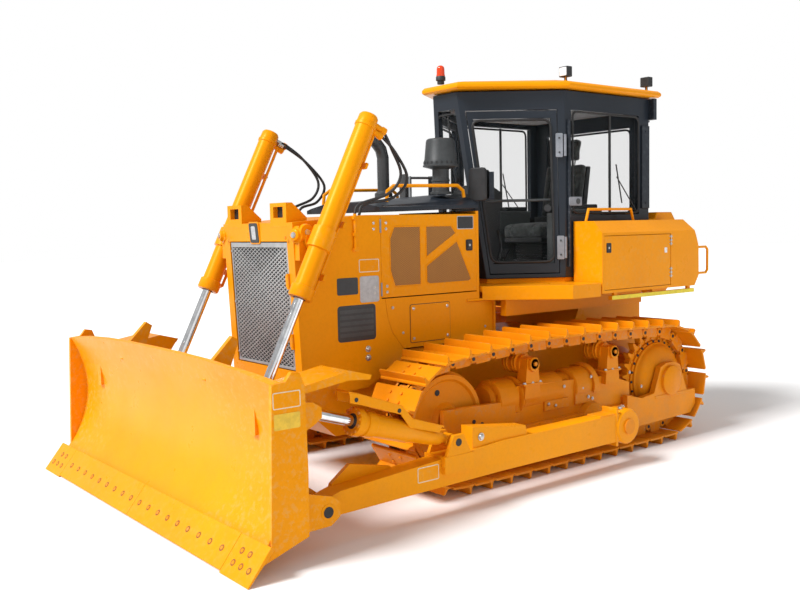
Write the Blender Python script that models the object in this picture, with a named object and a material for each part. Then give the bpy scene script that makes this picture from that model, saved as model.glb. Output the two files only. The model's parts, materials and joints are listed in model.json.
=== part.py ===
"""A crawler dozer with a straight tilting blade, in metres, +Z up.

-Y is forwards and +X is the machine's left. Every shape is laid out from the track datum, midway
between idler and sprocket on the ground, and the empty "machine" carries the whole of it so that the
world origin is on the ground under the middle of the machine's length.
"""

import math

import bmesh
import bpy
from mathutils import Matrix, Vector

# Undercarriage
TRACK_X = 0.94            # middle of each track
SHOE_WIDTH = 0.51
SHOE_COUNT = 37
IDLER_Y, IDLER_R = -1.29, 0.40      # pitch radius, to the middle of the chain pins
SPROCKET_Y, SPROCKET_R = 1.20, 0.415
CARRIER_Y = (-0.50, 0.45)
CARRIER_RISE = 0.985      # height of the pins over the front carrier roller
CARRIER_R = 0.075
GROUSER_TIP = 0.125       # pins to grouser tip
PLATE_OUT, PLATE_IN = 0.073, 0.052  # pins to the shoe plate's two faces
RAIL_DROP = 0.045         # pins to the face that the rollers run on
RAIL_IN, RAIL_OUT = 0.042, 0.088    # one chain rail, from the middle of the track
RAIL_PLAY = 0.003         # idler tread to rail
CARRIER_PLAY = 0.010      # carrier roller to the straight link above it
HUB_R = 0.325
SPROCKET_TEETH = 25
ROLLER_COUNT = 6
ROLLER_R = 0.10
FRAME_X = (0.80, 1.08)    # track frame's inner and outer sides
GUARD_X = 1.13            # outer face of the roller guard
OUTER_BEAM_X = (1.105, 1.155)       # the beam that passes outside the sprocket
TRUNNION_Y, TRUNNION_Z = 0.20, 0.33  # ball that each push arm turns on
TRUNNION_R = 0.060

# Chassis
CASE_HALF = 0.43          # half width of the main frame
CASE_Z = (0.40, 0.98)
REAR_Y = 1.84             # back of the towing bracket

# Engine enclosure
HOOD_HALF = 0.50
SHEET = 0.012             # sheet metal
GUARD_FRONT_Y = -2.20     # radiator guard's front face
GUARD_LEAN = 0.042        # over the height of the grille
GUARD_TOP_Z = 1.975
GUARD_BOTTOM_Z = 0.78
GRILLE_HALF = 0.42
GRILLE_Z = (0.914, 1.842)
DOOR_Y = (-1.46, -0.49)   # engine side door, front and rear edges
DOOR_Z = (1.40, 2.02)
SEAM = ((-1.43, 1.392), (-1.42, 1.345), (-1.408, 1.246), (-1.363, 1.128), (-1.26, 1.00))
SEAM_HALF = 0.003         # half the gap along that seam, below the door
LOWER_PANEL_REAR = -0.30
HOOD_EDGE_Z = 2.045       # lower edge of the top cover
HOOD_CROWN = 0.13
FIREWALL_Y = -0.46

# Platform and cab
PLATFORM_X = 1.02
PLATFORM_Z = (1.385, 1.43)
PLATFORM_Y = (-0.444, 1.50)
STEP_CORNER_Y = 0.086     # where the slanted step meets the platform's outer side
STEP_END_Y = 0.435
SKIRT_Z = 1.315
CAB_BOTTOM_Z = 1.47
CAB_TOP_Z = 3.045
CAB_SIDE_X = 0.70
CAB_FRONT_TOP = (0.15, -0.365)
CAB_FLOOR_X = 0.29        # half width of the front at the floor
CAB_PILLAR_Y = 0.36       # middle pillar, where the slanted door wall meets the side wall
CAB_REAR_Y = 1.50
CAB_WALL = 0.05
GLASS = 0.008
ROOF_LAP = 0.06
ROOF_GAP = 0.010
ROOF_EDGE = 0.060          # thickness at the roof's edge
ROOF_Z = (CAB_TOP_Z + ROOF_GAP, CAB_TOP_Z + ROOF_GAP + ROOF_EDGE)
ROOF_DOME = 0.035

# Rear boxes
BOX_FRONT_Y, BOX_REAR_Y = 0.45, 1.82
BOX_BOTTOM_Z = 1.337
BOX_TOP_Z = 1.943
BOX_SHOULDER_Z = 1.84
BOX_SHOULDER_X = 0.09     # width of the slope along the top outer edge
HANDLE_REACH = 0.165      # rear handles, behind the boxes
HANDLE_R = 0.012
BATTERY_DOOR_Y = (0.485, 1.392)
BATTERY_DOOR_Z = (1.365, 1.815)

# Blade and its linkage
BLADE_HALF = 1.63         # side plates
EDGE_HALF = BLADE_HALF + 0.064       # end bits
BLADE_TOP = (-3.075, 1.07)
BLADE_HOLLOW = 0.14       # depth of the moldboard's curve
BLADE_CROWN = 0.07
BLADE_SHEET = 0.025
EDGE_TOP = (-3.155, 0.20)
EDGE_TIP = (-3.31, 0.005)
EDGE_PLATE = 0.028
EDGE_BACKING = 0.13       # how far the moldboard's foot runs down behind the edge
ARM_X = 1.40
ARM_WIDTH = 0.14
ARM_PIN = (-2.675, 0.258)
TILT_REAR = (-1.609, 0.50)
TILT_FRONT = (-2.726, 0.845)
TILT_BARREL_R, TILT_ROD_R = 0.075, 0.035
LIFT_X = 0.68
LIFT_PIVOT = (-2.10, 1.85)
LIFT_EYE = (-2.745, 0.55)
LIFT_UP, LIFT_DOWN = 0.975, 0.437   # barrel above and below its pivot
LIFT_BARREL_R, LIFT_ROD_R = 0.072, 0.035
LIFT_ROD_LENGTH = 1.50
PIN_PLAY = 0.005
TILT_PLAY = 0.040         # side room for what the tilting blade swings across
TILT_EAR = 0.055          # from the middle of a tilt eye to its ears
TILT_LUG = 0.075          # from the middle of a tilt link's rear eye to its lugs
LIFT_PLAY = 0.070         # the same beside a lift rod's eye
TOUCH = 0.0003            # gap between pieces that rest on each other

IDLER_Z = GROUSER_TIP + IDLER_R
SPROCKET_Z = GROUSER_TIP + SPROCKET_R
MID_Y = -(EDGE_TIP[0] + BOX_REAR_Y + HANDLE_REACH + HANDLE_R) / 2
YELLOW = (0.93, 0.53, 0.02)
DARK = (0.045, 0.06, 0.085)
BLACK = (0.02, 0.02, 0.022)
STEEL = (0.55, 0.55, 0.56)

for leftover in list(bpy.data.objects):
    bpy.data.objects.remove(leftover)
scene_objects = bpy.context.scene.collection.objects
machine = bpy.data.objects.new("machine", None)
machine.location = (0, MID_Y, 0)
scene_objects.link(machine)


def shape(bm):
    """A mesh object from a closed bmesh, its faces turned outwards."""
    bmesh.ops.recalc_face_normals(bm, faces=bm.faces)
    mesh = bpy.data.meshes.new("shape")
    bm.to_mesh(mesh)
    bm.free()
    obj = bpy.data.objects.new("shape", mesh)
    scene_objects.link(obj)
    return obj


def loft(rings):
    """A closed solid through rings of points of equal count, capped at both ends."""
    bm = bmesh.new()
    loops = [[bm.verts.new(point) for point in ring] for ring in rings]
    for low, high in zip(loops, loops[1:]):
        for i in range(len(low)):
            j = (i + 1) % len(low)
            bm.faces.new((low[i], low[j], high[j], high[i]))
    bm.faces.new(loops[0][::-1])
    bm.faces.new(loops[-1])
    return shape(bm)


def prism(axis, low, high, outline):
    """An outline in the two other axes, drawn out along one axis."""
    place = {
        "x": lambda a, b, t: (t, a, b),
        "y": lambda a, b, t: (a, t, b),
        "z": lambda a, b, t: (a, b, t),
    }[axis]
    return loft([[place(a, b, t) for a, b in outline] for t in (low, high)])


def box(x, y, z):
    """A block from three (low, high) pairs."""
    return prism("z", z[0], z[1], [(x[0], y[0]), (x[1], y[0]), (x[1], y[1]), (x[0], y[1])])


def turned(centre, axis, profile, segments=24):
    """A turned piece: profile gives (distance along the axis, radius) from end to end."""
    axis = Vector(axis).normalized()
    turn = Vector((0, 0, 1)).rotation_difference(axis).to_matrix()
    rings = []
    for along, radius in profile:
        ring = []
        for i in range(segments):
            angle = 2 * math.pi * (i + 0.5) / segments
            spot = Vector((radius * math.cos(angle), radius * math.sin(angle), along))
            ring.append(Vector(centre) + turn @ spot)
        rings.append(ring)
    return loft(rings)


def rod_between(start, end, radius, segments=16):
    span = Vector(end) - Vector(start)
    return turned(start, span, [(0, radius), (span.length, radius)], segments)


def pipe(points, radius, segments=8):
    """A round bar that follows a polyline, mitred at its corners."""
    points = [Vector(p) for p in points]
    side = None
    rings = []
    for i, point in enumerate(points):
        before = (point - points[i - 1]).normalized() if i else None
        after = (points[i + 1] - point).normalized() if i + 1 < len(points) else None
        along = before or after
        if before and after:
            along = (before + after).normalized()
        if side is None:
            side = along.orthogonal().normalized()
        side = (side - along * side.dot(along)).normalized()
        other = along.cross(side)
        stretch = 1 / max(0.5, along.dot(after or before))
        swing = ((after or before) - along * along.dot(after or before))
        swing = swing.normalized() if swing.length > 1e-6 else None
        ring = []
        for k in range(segments):
            angle = 2 * math.pi * k / segments
            out = side * math.cos(angle) + other * math.sin(angle)
            if swing:
                out = out + swing * (out.dot(swing) * (stretch - 1))
            ring.append(point + out * radius)
        rings.append(ring)
    return loft(rings)


def combine(base, others, operation):
    for other in others:
        step = base.modifiers.new("combine", "BOOLEAN")
        step.operation = operation
        step.solver = "EXACT"
        step.object = other
    graph = bpy.context.evaluated_depsgraph_get()
    mesh = bpy.data.meshes.new_from_object(base.evaluated_get(graph))
    base.modifiers.clear()
    base.data = mesh
    for other in others:
        bpy.data.objects.remove(other)
    return base


def join(base, *others):
    return combine(base, others, "UNION")


def cut(base, *others):
    return combine(base, others, "DIFFERENCE")


def paint(name, colour, roughness, metallic):
    material = bpy.data.materials.get(name) or bpy.data.materials.new(name)
    material.use_nodes = True
    shader = material.node_tree.nodes["Principled BSDF"]
    shader.inputs["Base Color"].default_value = (*colour, 1)
    shader.inputs["Roughness"].default_value = roughness
    shader.inputs["Metallic"].default_value = metallic
    material.diffuse_color = (*colour, 1)
    return material


PAINTS = {
    "yellow": (YELLOW, 0.35, 0.0),
    "dark": (DARK, 0.4, 0.1),
    "black": (BLACK, 0.6, 0.0),
    "steel": (STEEL, 0.35, 1.0),
    "glass": ((0.2, 0.25, 0.26), 0.05, 0.0),
    "amber": ((0.8, 0.12, 0.02), 0.2, 0.0),
}


def finish(obj, name, finish_name, origin=(0, 0, 0), smooth=35):
    """Name a piece, put its origin on its axis, paint it and hang it on the machine."""
    obj.name = name
    obj.data.name = name
    obj.data.transform(Matrix.Translation(-Vector(origin)))
    obj.location = origin
    obj.parent = machine
    obj.data.materials.clear()
    obj.data.materials.append(paint(finish_name, *PAINTS[finish_name]))
    obj.data.shade_smooth()
    obj.data.set_sharp_from_angle(angle=math.radians(smooth))
    return obj


def side_name(stem, side):
    return f"{stem}_{'left' if side > 0 else 'right'}"


# ---- Undercarriage -------------------------------------------------------------------------------

def track_path():
    """The pin line as straight runs and arcs: (start, heading, length, centre, radius) each."""
    carrier_radius = RAIL_DROP + CARRIER_R
    wheels = [
        (Vector((SPROCKET_Y, SPROCKET_Z)), SPROCKET_R),
        (Vector((IDLER_Y, IDLER_Z)), IDLER_R),
    ] + [(Vector((y, CARRIER_RISE - carrier_radius)), carrier_radius) for y in CARRIER_Y]
    normals = []
    for (a, ra), (b, rb) in zip(wheels, wheels[1:] + wheels[:1]):
        span = b - a
        normals.append(math.atan2(span.y, span.x) + math.acos((ra - rb) / span.length))
    runs = []
    for i, (centre, radius) in enumerate(wheels):
        start_normal, end_normal = normals[i - 1], normals[i]
        sweep = (start_normal - end_normal) % (2 * math.pi)
        runs.append(("arc", centre, radius, start_normal, sweep))
        following, next_radius = wheels[(i + 1) % len(wheels)]
        out = Vector((math.cos(end_normal), math.sin(end_normal)))
        start = centre + out * radius
        runs.append(("line", start, following + out * next_radius, out, 0))
    return runs


def run_length(run):
    if run[0] == "arc":
        return run[2] * run[4]
    return (run[2] - run[1]).length


def path_at(runs, distance):
    """The point and outward direction at a distance along the pin line."""
    distance %= sum(run_length(run) for run in runs)
    for run in runs:
        length = run_length(run)
        if distance > length:
            distance -= length
            continue
        if run[0] == "arc":
            angle = run[3] - distance / run[2]
            out = Vector((math.cos(angle), math.sin(angle)))
            return run[1] + out * run[2], out
        heading = (run[2] - run[1]).normalized()
        return run[1] + heading * distance, run[3]


def build_track(side):
    """Shoes and two chain rails as one loop; each shoe lies along the chord between its two pins."""
    runs = track_path()
    total = sum(run_length(run) for run in runs)
    pins = [path_at(runs, total * i / SHOE_COUNT)[0] for i in range(SHOE_COUNT)]
    shoe_profile = [(-0.47, PLATE_OUT), (-0.40, GROUSER_TIP), (-0.30, GROUSER_TIP), (-0.23, PLATE_OUT),
                    (0.47, PLATE_OUT)]
    profiles = {
        "shoes": shoe_profile,
        "plate_inside": [(-0.47, PLATE_IN), (0.47, PLATE_IN)],
        "rail_outside": [(-0.40, PLATE_IN + 0.006), (0.40, PLATE_IN + 0.006)],
        "rail_inside": [(-0.42, -RAIL_DROP), (0.42, -RAIL_DROP)],
    }
    loops = {name: [] for name in profiles}
    for i, pin in enumerate(pins):
        chord = pins[(i + 1) % SHOE_COUNT] - pin
        out = Vector((-chord.y, chord.x)).normalized()
        for name, profile in profiles.items():
            loops[name] += [pin + chord * (0.5 + share) + out * height for share, height in profile]
    middle = side * TRACK_X
    half = SHOE_WIDTH / 2
    shoes = prism("x", middle - half, middle + half, loops["shoes"])
    shoes = cut(shoes, prism("x", middle - half - 0.1, middle + half + 0.1, loops["plate_inside"]))
    for low, high in ((-RAIL_OUT, -RAIL_IN), (RAIL_IN, RAIL_OUT)):
        rail = prism("x", middle + low, middle + high, loops["rail_outside"])
        rail = cut(rail, prism("x", middle + low - 0.1, middle + high + 0.1, loops["rail_inside"]))
        shoes = join(shoes, rail)
    finish(shoes, side_name("track", side), "yellow")


def build_idler(side):
    pitch = sum(run_length(run) for run in track_path()) / SHOE_COUNT
    tread = math.sqrt(IDLER_R ** 2 - (pitch / 2) ** 2) - RAIL_DROP - RAIL_PLAY
    guide = tread + 0.022
    profile = [(-0.10, 0.10), (-0.075, 0.12), (-RAIL_OUT, 0.26), (-RAIL_OUT, tread),
               (-RAIL_IN + 0.004, tread),
               (-RAIL_IN + 0.010, guide), (RAIL_IN - 0.010, guide), (RAIL_IN - 0.004, tread),
               (RAIL_OUT, tread), (RAIL_OUT, 0.26), (0.075, 0.12), (0.10, 0.10)]
    wheel = turned((side * TRACK_X, IDLER_Y, IDLER_Z), (side, 0, 0), profile, 24)
    finish(wheel, side_name("idler", side), "yellow")


def build_sprocket(side):
    """The toothed rim and the hub cover outside it."""
    outline = []
    step = 2 * math.pi / SPROCKET_TEETH
    for i in range(SPROCKET_TEETH):
        for share, radius in ((-0.32, -0.048), (-0.10, 0.012), (0.10, 0.012)):
            angle = (i + share) * step
            r = SPROCKET_R + radius
            outline.append((SPROCKET_Y + r * math.cos(angle), SPROCKET_Z + r * math.sin(angle)))
    half = RAIL_IN - 0.010
    low, high = sorted((side * (TRACK_X - half), side * (TRACK_X + half)))
    rim = prism("x", low, high, outline)
    reach = OUTER_BEAM_X[0] - TRACK_X - 0.005
    hub = turned((side * TRACK_X, SPROCKET_Y, SPROCKET_Z), (side, 0, 0),
                 [(-0.09, 0.20), (0.0, 0.27), (0.075, 0.31), (0.085, HUB_R), (reach - 0.03, HUB_R),
                  (reach, HUB_R - 0.05)], 24)
    finish(join(rim, hub), side_name("sprocket", side), "yellow")


def build_track_frame(side):
    """The welded beam with its rollers, recoil cover, carrier posts, guards and push arm ball."""
    inner, outer = FRAME_X
    roller_z = GROUSER_TIP + RAIL_DROP + 0.002 + ROLLER_R
    front = IDLER_Y + 0.46
    rear = SPROCKET_Y - SPROCKET_R - 0.06

    def span(a, b):
        return tuple(sorted((side * a, side * b)))

    frame = prism("x", *span(inner, outer),
                  [(front, 0.30), (rear, 0.30), (rear, 0.57), (0.45, 0.66), (-0.62, 0.70), (front, 0.66)])
    yoke = [(IDLER_Y - 0.10, 0.44), (front + 0.16, 0.36), (front + 0.16, 0.60), (IDLER_Y - 0.10, 0.62)]
    pieces = []
    for offset in (-0.145, 0.145):
        pieces.append(prism("x", *span(TRACK_X + offset - 0.02, TRACK_X + offset + 0.02), yoke))
    guard = [(front - 0.10, 0.17), (rear, 0.17), (rear, 0.40), (front - 0.10, 0.40)]
    pieces.append(prism("x", *span(outer - 0.02, GUARD_X), guard))
    pieces.append(prism("x", *span(inner - 0.025, inner + 0.02), guard))
    bearing_z = SPROCKET_Z + 0.155
    beam = [(rear - 0.12, 0.19), (1.50, 0.21), (1.57, 0.28), (1.57, 0.40), (1.44, 0.43),
            (1.34, bearing_z - 0.03),
            (1.26, bearing_z), (1.14, bearing_z), (1.06, bearing_z - 0.03), (0.97, 0.45), (0.80, 0.43),
            (rear - 0.12, 0.48)]
    pieces.append(prism("x", *span(*OUTER_BEAM_X), beam))
    pieces.append(prism("x", *span(outer - 0.03, OUTER_BEAM_X[0] + 0.01),
                        [(rear - 0.11, 0.20), (rear, 0.20), (rear, 0.46), (rear - 0.11, 0.46)]))
    pieces.append(turned((side * (OUTER_BEAM_X[0] + 0.02), SPROCKET_Y, SPROCKET_Z), (side, 0, 0),
                  [(0, 0.13), (0.055, 0.13), (0.075, 0.09)], 20))
    first, last = IDLER_Y + 0.50, SPROCKET_Y - 0.56
    for i in range(ROLLER_COUNT):
        y = first + (last - first) * i / (ROLLER_COUNT - 1)
        pieces.append(turned((side * (TRACK_X - 0.10), y, roller_z), (side, 0, 0),
                      [(0, ROLLER_R), (0.20, ROLLER_R)], 12))
    pieces.append(turned((side * TRACK_X, -0.86, 0.60), (0, 1, 0),
                  [(0, 0.10), (0.02, 0.125), (1.00, 0.125), (1.04, 0.09)], 16))
    for y in CARRIER_Y:
        axle_z = carrier_height(y) - RAIL_DROP - CARRIER_R - CARRIER_PLAY
        post = [(y - 0.09, 0.60), (y + 0.09, 0.60), (y + 0.055, axle_z + 0.05), (y - 0.055, axle_z + 0.05)]
        pieces.append(prism("x", *span(outer - 0.05, outer + 0.045), post))
        pieces.append(turned((side * (outer + 0.07), y, axle_z), (-side, 0, 0),
                      [(0, 0.05), (0.10, 0.05), (0.101, CARRIER_R), (0.285, CARRIER_R)], 16))
    pieces.append(turned((side * (outer - 0.04), TRUNNION_Y, TRUNNION_Z), (side, 0, 0),
                  [(0, 0.16), (0.10, 0.14), (0.16, TRUNNION_R), (ARM_X + 0.14 - outer, TRUNNION_R)], 20))
    finish(join(frame, *pieces), side_name("track_frame", side), "yellow")


def carrier_height(y):
    """Height of the pins above a point of the top run."""
    runs = track_path()
    total = sum(run_length(run) for run in runs)
    steps = 400
    spots = [path_at(runs, total * i / steps)[0] for i in range(steps)]
    return max(spot.y for spot in spots if abs(spot.x - y) < total / steps)


# ---- Chassis -------------------------------------------------------------------------------------

def build_main_frame():
    """Frame rails, rear case, final drive housings, equalizer bar and towing bracket in one weldment."""
    low, high = CASE_Z
    hull = prism("x", -CASE_HALF, CASE_HALF,
                 [(GUARD_FRONT_Y + 0.16, low + 0.16), (GUARD_FRONT_Y + 0.34, low), (0.60, low),
                  (0.78, low + 0.04), (1.55, low + 0.04), (1.72, low + 0.25), (1.72, 1.16),
                  (1.62, 1.22), (1.50, 1.24), (1.45, 1.30), (0.9, 1.30), (0.75, high),
                  (GUARD_FRONT_Y + 0.16, high)])
    inner = FRAME_X[0]
    pieces = []
    for side in (-1, 1):
        pieces.append(turned((side * (CASE_HALF - 0.05), SPROCKET_Y, SPROCKET_Z), (side, 0, 0),
                      [(0, 0.27), (0.20, 0.25), (0.26, 0.19), (0.45, 0.19)], 24))
        pieces.append(box(tuple(sorted((side * (CASE_HALF - 0.02), side * (inner - 0.032)))),
                          (0.46, 0.62), (0.42, 0.56)))
    beam_end = inner - 0.032
    pieces.append(prism("y", -0.98, -0.84, [(-beam_end, 0.46), (-0.25, 0.41), (0.25, 0.41),
                                            (beam_end, 0.46),
                                            (beam_end, 0.58), (0.25, 0.60), (-0.25, 0.60),
                                            (-beam_end, 0.58)]))
    pieces.append(box((-0.16, 0.16), (1.68, REAR_Y), (0.56, 0.62)))
    pieces.append(box((-0.16, 0.16), (1.68, REAR_Y), (0.76, 0.82)))
    pieces.append(box((-0.19, 0.19), (1.68, 1.75), (0.52, 0.86)))
    finish(join(hull, *pieces), "main_frame", "yellow")


def build_engine():
    finish(box((-0.30, 0.30), (-1.72, -0.62), (CASE_Z[1] + 0.01, 1.80)), "engine_block", "black")


# ---- Engine enclosure ----------------------------------------------------------------------------

def build_radiator_guard():
    """Front shell with its side walls, slotted lifting brackets and the lift cylinders' yokes."""
    half = HOOD_HALF + 0.005
    front_low, front_high = guard_face(GUARD_BOTTOM_Z), guard_face(GUARD_TOP_Z)
    rear = DOOR_Y[0] - 0.002
    seam = [(y - SEAM_HALF, z) for y, z in SEAM[::-1]]
    side_outline = [(front_low, GUARD_BOTTOM_Z), (-1.90, 0.73), (-1.60, 0.745), (-1.27, 0.93)] + seam
    side_outline += [(rear, DOOR_Z[0] - 0.006), (rear, GUARD_TOP_Z + 0.045), (-1.60, GUARD_TOP_Z + 0.045),
                     (front_high, GUARD_TOP_Z)]
    shell = prism("x", -half, half, side_outline)
    wall = 0.03
    inside = prism("x", -half + wall, half - wall,
                   [(front_low + 0.06, 0.60), (-1.0, 0.60), (-1.0, GUARD_TOP_Z),
                    (front_high + 0.06, GUARD_TOP_Z - 0.03)])
    window = box((-GRILLE_HALF, GRILLE_HALF), (GUARD_FRONT_Y - 0.2, GUARD_FRONT_Y + 0.3), GRILLE_Z)
    shell = cut(shell, inside, window)
    pieces = []
    for side in (-1, 1):
        near, far = sorted((side * 0.21, side * 0.43))
        top = GUARD_TOP_Z + 0.14
        bracket = prism("x", near, far,
                        [(front_high, GUARD_TOP_Z - 0.03), (front_high + 0.17, GUARD_TOP_Z - 0.03),
                         (front_high + 0.17, GUARD_TOP_Z + 0.035), (front_high + 0.05, top), (front_high, top)])
        slot = box((near + 0.045, far - 0.045), (front_high - 0.1, front_high + 0.3),
                   (GUARD_TOP_Z + 0.035, GUARD_TOP_Z + 0.112))
        pieces.append(cut(bracket, slot))
        arm = prism("x", *sorted((side * (half - 0.01), side * (LIFT_X - LIFT_BARREL_R - 0.045))),
                    [(LIFT_PIVOT[0] - 0.11, LIFT_PIVOT[1] - 0.14),
                     (LIFT_PIVOT[0] + 0.15, LIFT_PIVOT[1] - 0.14),
                     (LIFT_PIVOT[0] + 0.15, LIFT_PIVOT[1] + 0.10),
                     (LIFT_PIVOT[0] - 0.11, LIFT_PIVOT[1] + 0.10)])
        pieces.append(arm)
        pieces.append(rod_between((side * (LIFT_X - LIFT_BARREL_R - 0.06), *LIFT_PIVOT),
                                  (side * (LIFT_X - LIFT_BARREL_R - 0.022), *LIFT_PIVOT), 0.06, 16))
    finish(join(shell, *pieces), "radiator_guard", "yellow")


def guard_face(z):
    """The guard's front face leans forwards towards its top."""
    return GUARD_FRONT_Y - GUARD_LEAN * (z - GRILLE_Z[0]) / (GRILLE_Z[1] - GRILLE_Z[0]) + GUARD_LEAN / 2


def build_grille():
    """The hinged screen in the guard's window, on the machine's left edge."""
    x = GRILLE_HALF - 0.006
    low, high = GRILLE_Z[0] + 0.006, GRILLE_Z[1] - 0.006
    screen = prism("x", -x, x, [(guard_face(low) + 0.002, low), (guard_face(high) + 0.002, high),
                                (guard_face(high) + 0.032, high), (guard_face(low) + 0.032, low)])
    finish(screen, "radiator_grille", "dark", (GRILLE_HALF + 0.005, guard_face(low) - 0.014, low))


def build_radiator():
    core = box((-0.40, 0.40), (GUARD_FRONT_Y + 0.12, GUARD_FRONT_Y + 0.30), (CASE_Z[1] + 0.01, 1.86))
    finish(core, "radiator_core", "black")


def build_hood():
    """Dark crowned top cover."""
    half = HOOD_HALF
    rings = []
    for y, edge, crown in ((-1.46, 0.0, 0.08), (FIREWALL_Y, 0.02, HOOD_CROWN)):
        low = HOOD_EDGE_Z + edge
        outer = [(-half, low), (-half, low + 0.03), (-half + 0.06, low + crown * 0.55),
                 (-half * 0.5, low + crown * 0.92), (0, low + crown), (half * 0.5, low + crown * 0.92),
                 (half - 0.06, low + crown * 0.55), (half, low + 0.03), (half, low)]
        rings.append([(x, y, z) for x, z in outer])
    cover = loft(rings)
    hollow = box((-half + SHEET * 2, half - SHEET * 2), (-1.40, FIREWALL_Y - 0.03),
                 (HOOD_EDGE_Z - 0.1, HOOD_EDGE_Z + 0.045))
    finish(cut(cover, hollow), "hood_cover", "dark")


def build_hood_frame():
    """Fixed lower side panels, door sills and firewall."""
    half = HOOD_HALF
    top, low = DOOR_Z[0] - 0.008, SEAM[-1][1]
    lower = [(y + SEAM_HALF, z) for y, z in SEAM]
    lower += [(LOWER_PANEL_REAR, low), (LOWER_PANEL_REAR, SKIRT_Z), (FIREWALL_Y, SKIRT_Z),
              (FIREWALL_Y, top)]
    firewall = box((-half, half), (FIREWALL_Y - 0.03, FIREWALL_Y), (1.00, HOOD_EDGE_Z - TOUCH * 4))
    cowl = box((-0.22, 0.22), (FIREWALL_Y - 0.01, -0.29), (CAB_BOTTOM_Z, HOOD_EDGE_Z - 0.002))
    pieces = [cowl]
    for side in (-1, 1):
        pieces.append(prism("x", *sorted((side * (half - 0.02), side * half)), lower))
    finish(join(firewall, *pieces), "hood_frame", "yellow")


def build_engine_door(side):
    x = sorted((side * (HOOD_HALF - 0.018), side * HOOD_HALF))
    hinge_y = DOOR_Y[0]
    door = box(x, (DOOR_Y[0] + 0.004, DOOR_Y[1]), (DOOR_Z[0], DOOR_Z[1]))
    finish(door, side_name("engine_door", side), "yellow", (side * (HOOD_HALF + 0.008), hinge_y, 0))


# ---- Platform, cab and boxes ---------------------------------------------------------------------

def cab_plan(z):
    """Half of the cab's outline at one height, from the front corner to the rear corner."""
    share = (z - CAB_BOTTOM_Z) / (CAB_TOP_Z - CAB_BOTTOM_Z)
    top_x, top_y = CAB_FRONT_TOP
    x = CAB_FLOOR_X + (top_x - CAB_FLOOR_X) * share
    slope = (CAB_PILLAR_Y - top_y) / (CAB_SIDE_X - top_x)
    y = CAB_PILLAR_Y - (CAB_SIDE_X - x) * slope
    return [(x, y), (CAB_SIDE_X, CAB_PILLAR_Y), (CAB_SIDE_X, CAB_REAR_Y)]


def cab_ring(z, inset=0.0):
    """The cab's whole outline at one height, moved in by a wall."""
    half = cab_plan(z)
    outline = [(-x, y) for x, y in half[::-1]] + half
    count = len(outline)
    points = []
    for i in range(count):
        before, here, after = (Vector(outline[(i + k) % count]) for k in (-1, 0, 1))
        first, second = (here - before).normalized(), (after - here).normalized()
        normal_a, normal_b = Vector((-first.y, first.x)), Vector((-second.y, second.x))
        corner = here + (normal_a + normal_b) * (inset / (1 + normal_a.dot(normal_b)))
        points.append((corner.x, corner.y, z))
    return points


def door_frame_points(side, low, high, ends, inset):
    """Corners of a panel in the slanted door wall: heights, and shares of the way from front to pillar."""
    points = []
    for z, share in ((low, ends[0]), (low, ends[1]), (high, ends[1]), (high, ends[0])):
        (ax, ay), (bx, by), _ = cab_plan(z)
        out = Vector((by - ay, -(bx - ax))).normalized()
        spot = Vector((ax, ay)).lerp(Vector((bx, by)), share) + out * inset
        points.append((side * spot.x, spot.y, z))
    return points


def door_panel(side, low, high, ends, outside, inside):
    return loft([door_frame_points(side, low, high, ends, outside),
                 door_frame_points(side, low, high, ends, inside)])


def front_panel(z_range, half_low, half_high, outside, inside):
    """A panel in the leaning front wall."""
    rings = []
    for depth in (outside, inside):
        ring = []
        for z, half in ((z_range[0], half_low), (z_range[1], half_high)):
            y = cab_plan(z)[0][1] - depth
            ring += [(-half, y, z), (half, y, z)]
        rings.append([ring[0], ring[1], ring[3], ring[2]])
    return loft(rings)


DOOR_LOW, DOOR_HIGH = CAB_BOTTOM_Z + 0.035, CAB_TOP_Z - 0.16
DOOR_ENDS = (0.055, 0.93)
WINDOW_LOW = 2.00


def build_cab():
    shell = loft([cab_ring(CAB_BOTTOM_Z), cab_ring(CAB_TOP_Z)])
    hollow = loft([cab_ring(CAB_BOTTOM_Z + 0.03, CAB_WALL), cab_ring(CAB_TOP_Z + 0.1, CAB_WALL)])
    shell = cut(shell, hollow)
    cutters = []
    for side in (-1, 1):
        cutters.append(door_panel(side, DOOR_LOW, DOOR_HIGH, DOOR_ENDS, 0.1, -0.1))
        cutters.append(box(sorted((side * 0.60, side * 0.80)), (CAB_PILLAR_Y + 0.08, CAB_REAR_Y - 0.14),
                           (WINDOW_LOW, CAB_TOP_Z - 0.16)))
    half_low, half_high = cab_plan(1.62)[0][0] - 0.06, cab_plan(CAB_TOP_Z - 0.14)[0][0] - 0.055
    cutters.append(front_panel((1.62, CAB_TOP_Z - 0.14), half_low, half_high, 0.2, -0.2))
    cutters.append(box((-0.52, 0.52), (CAB_REAR_Y - 0.2, CAB_REAR_Y + 0.2), (WINDOW_LOW, 2.80)))
    shell = cut(shell, *cutters)
    cooler = box((-0.45, 0.55), (CAB_REAR_Y - 0.02, CAB_REAR_Y + 0.22), (2.86, CAB_TOP_Z - 0.005))
    finish(join(shell, cooler), "cab_frame", "dark")


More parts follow.
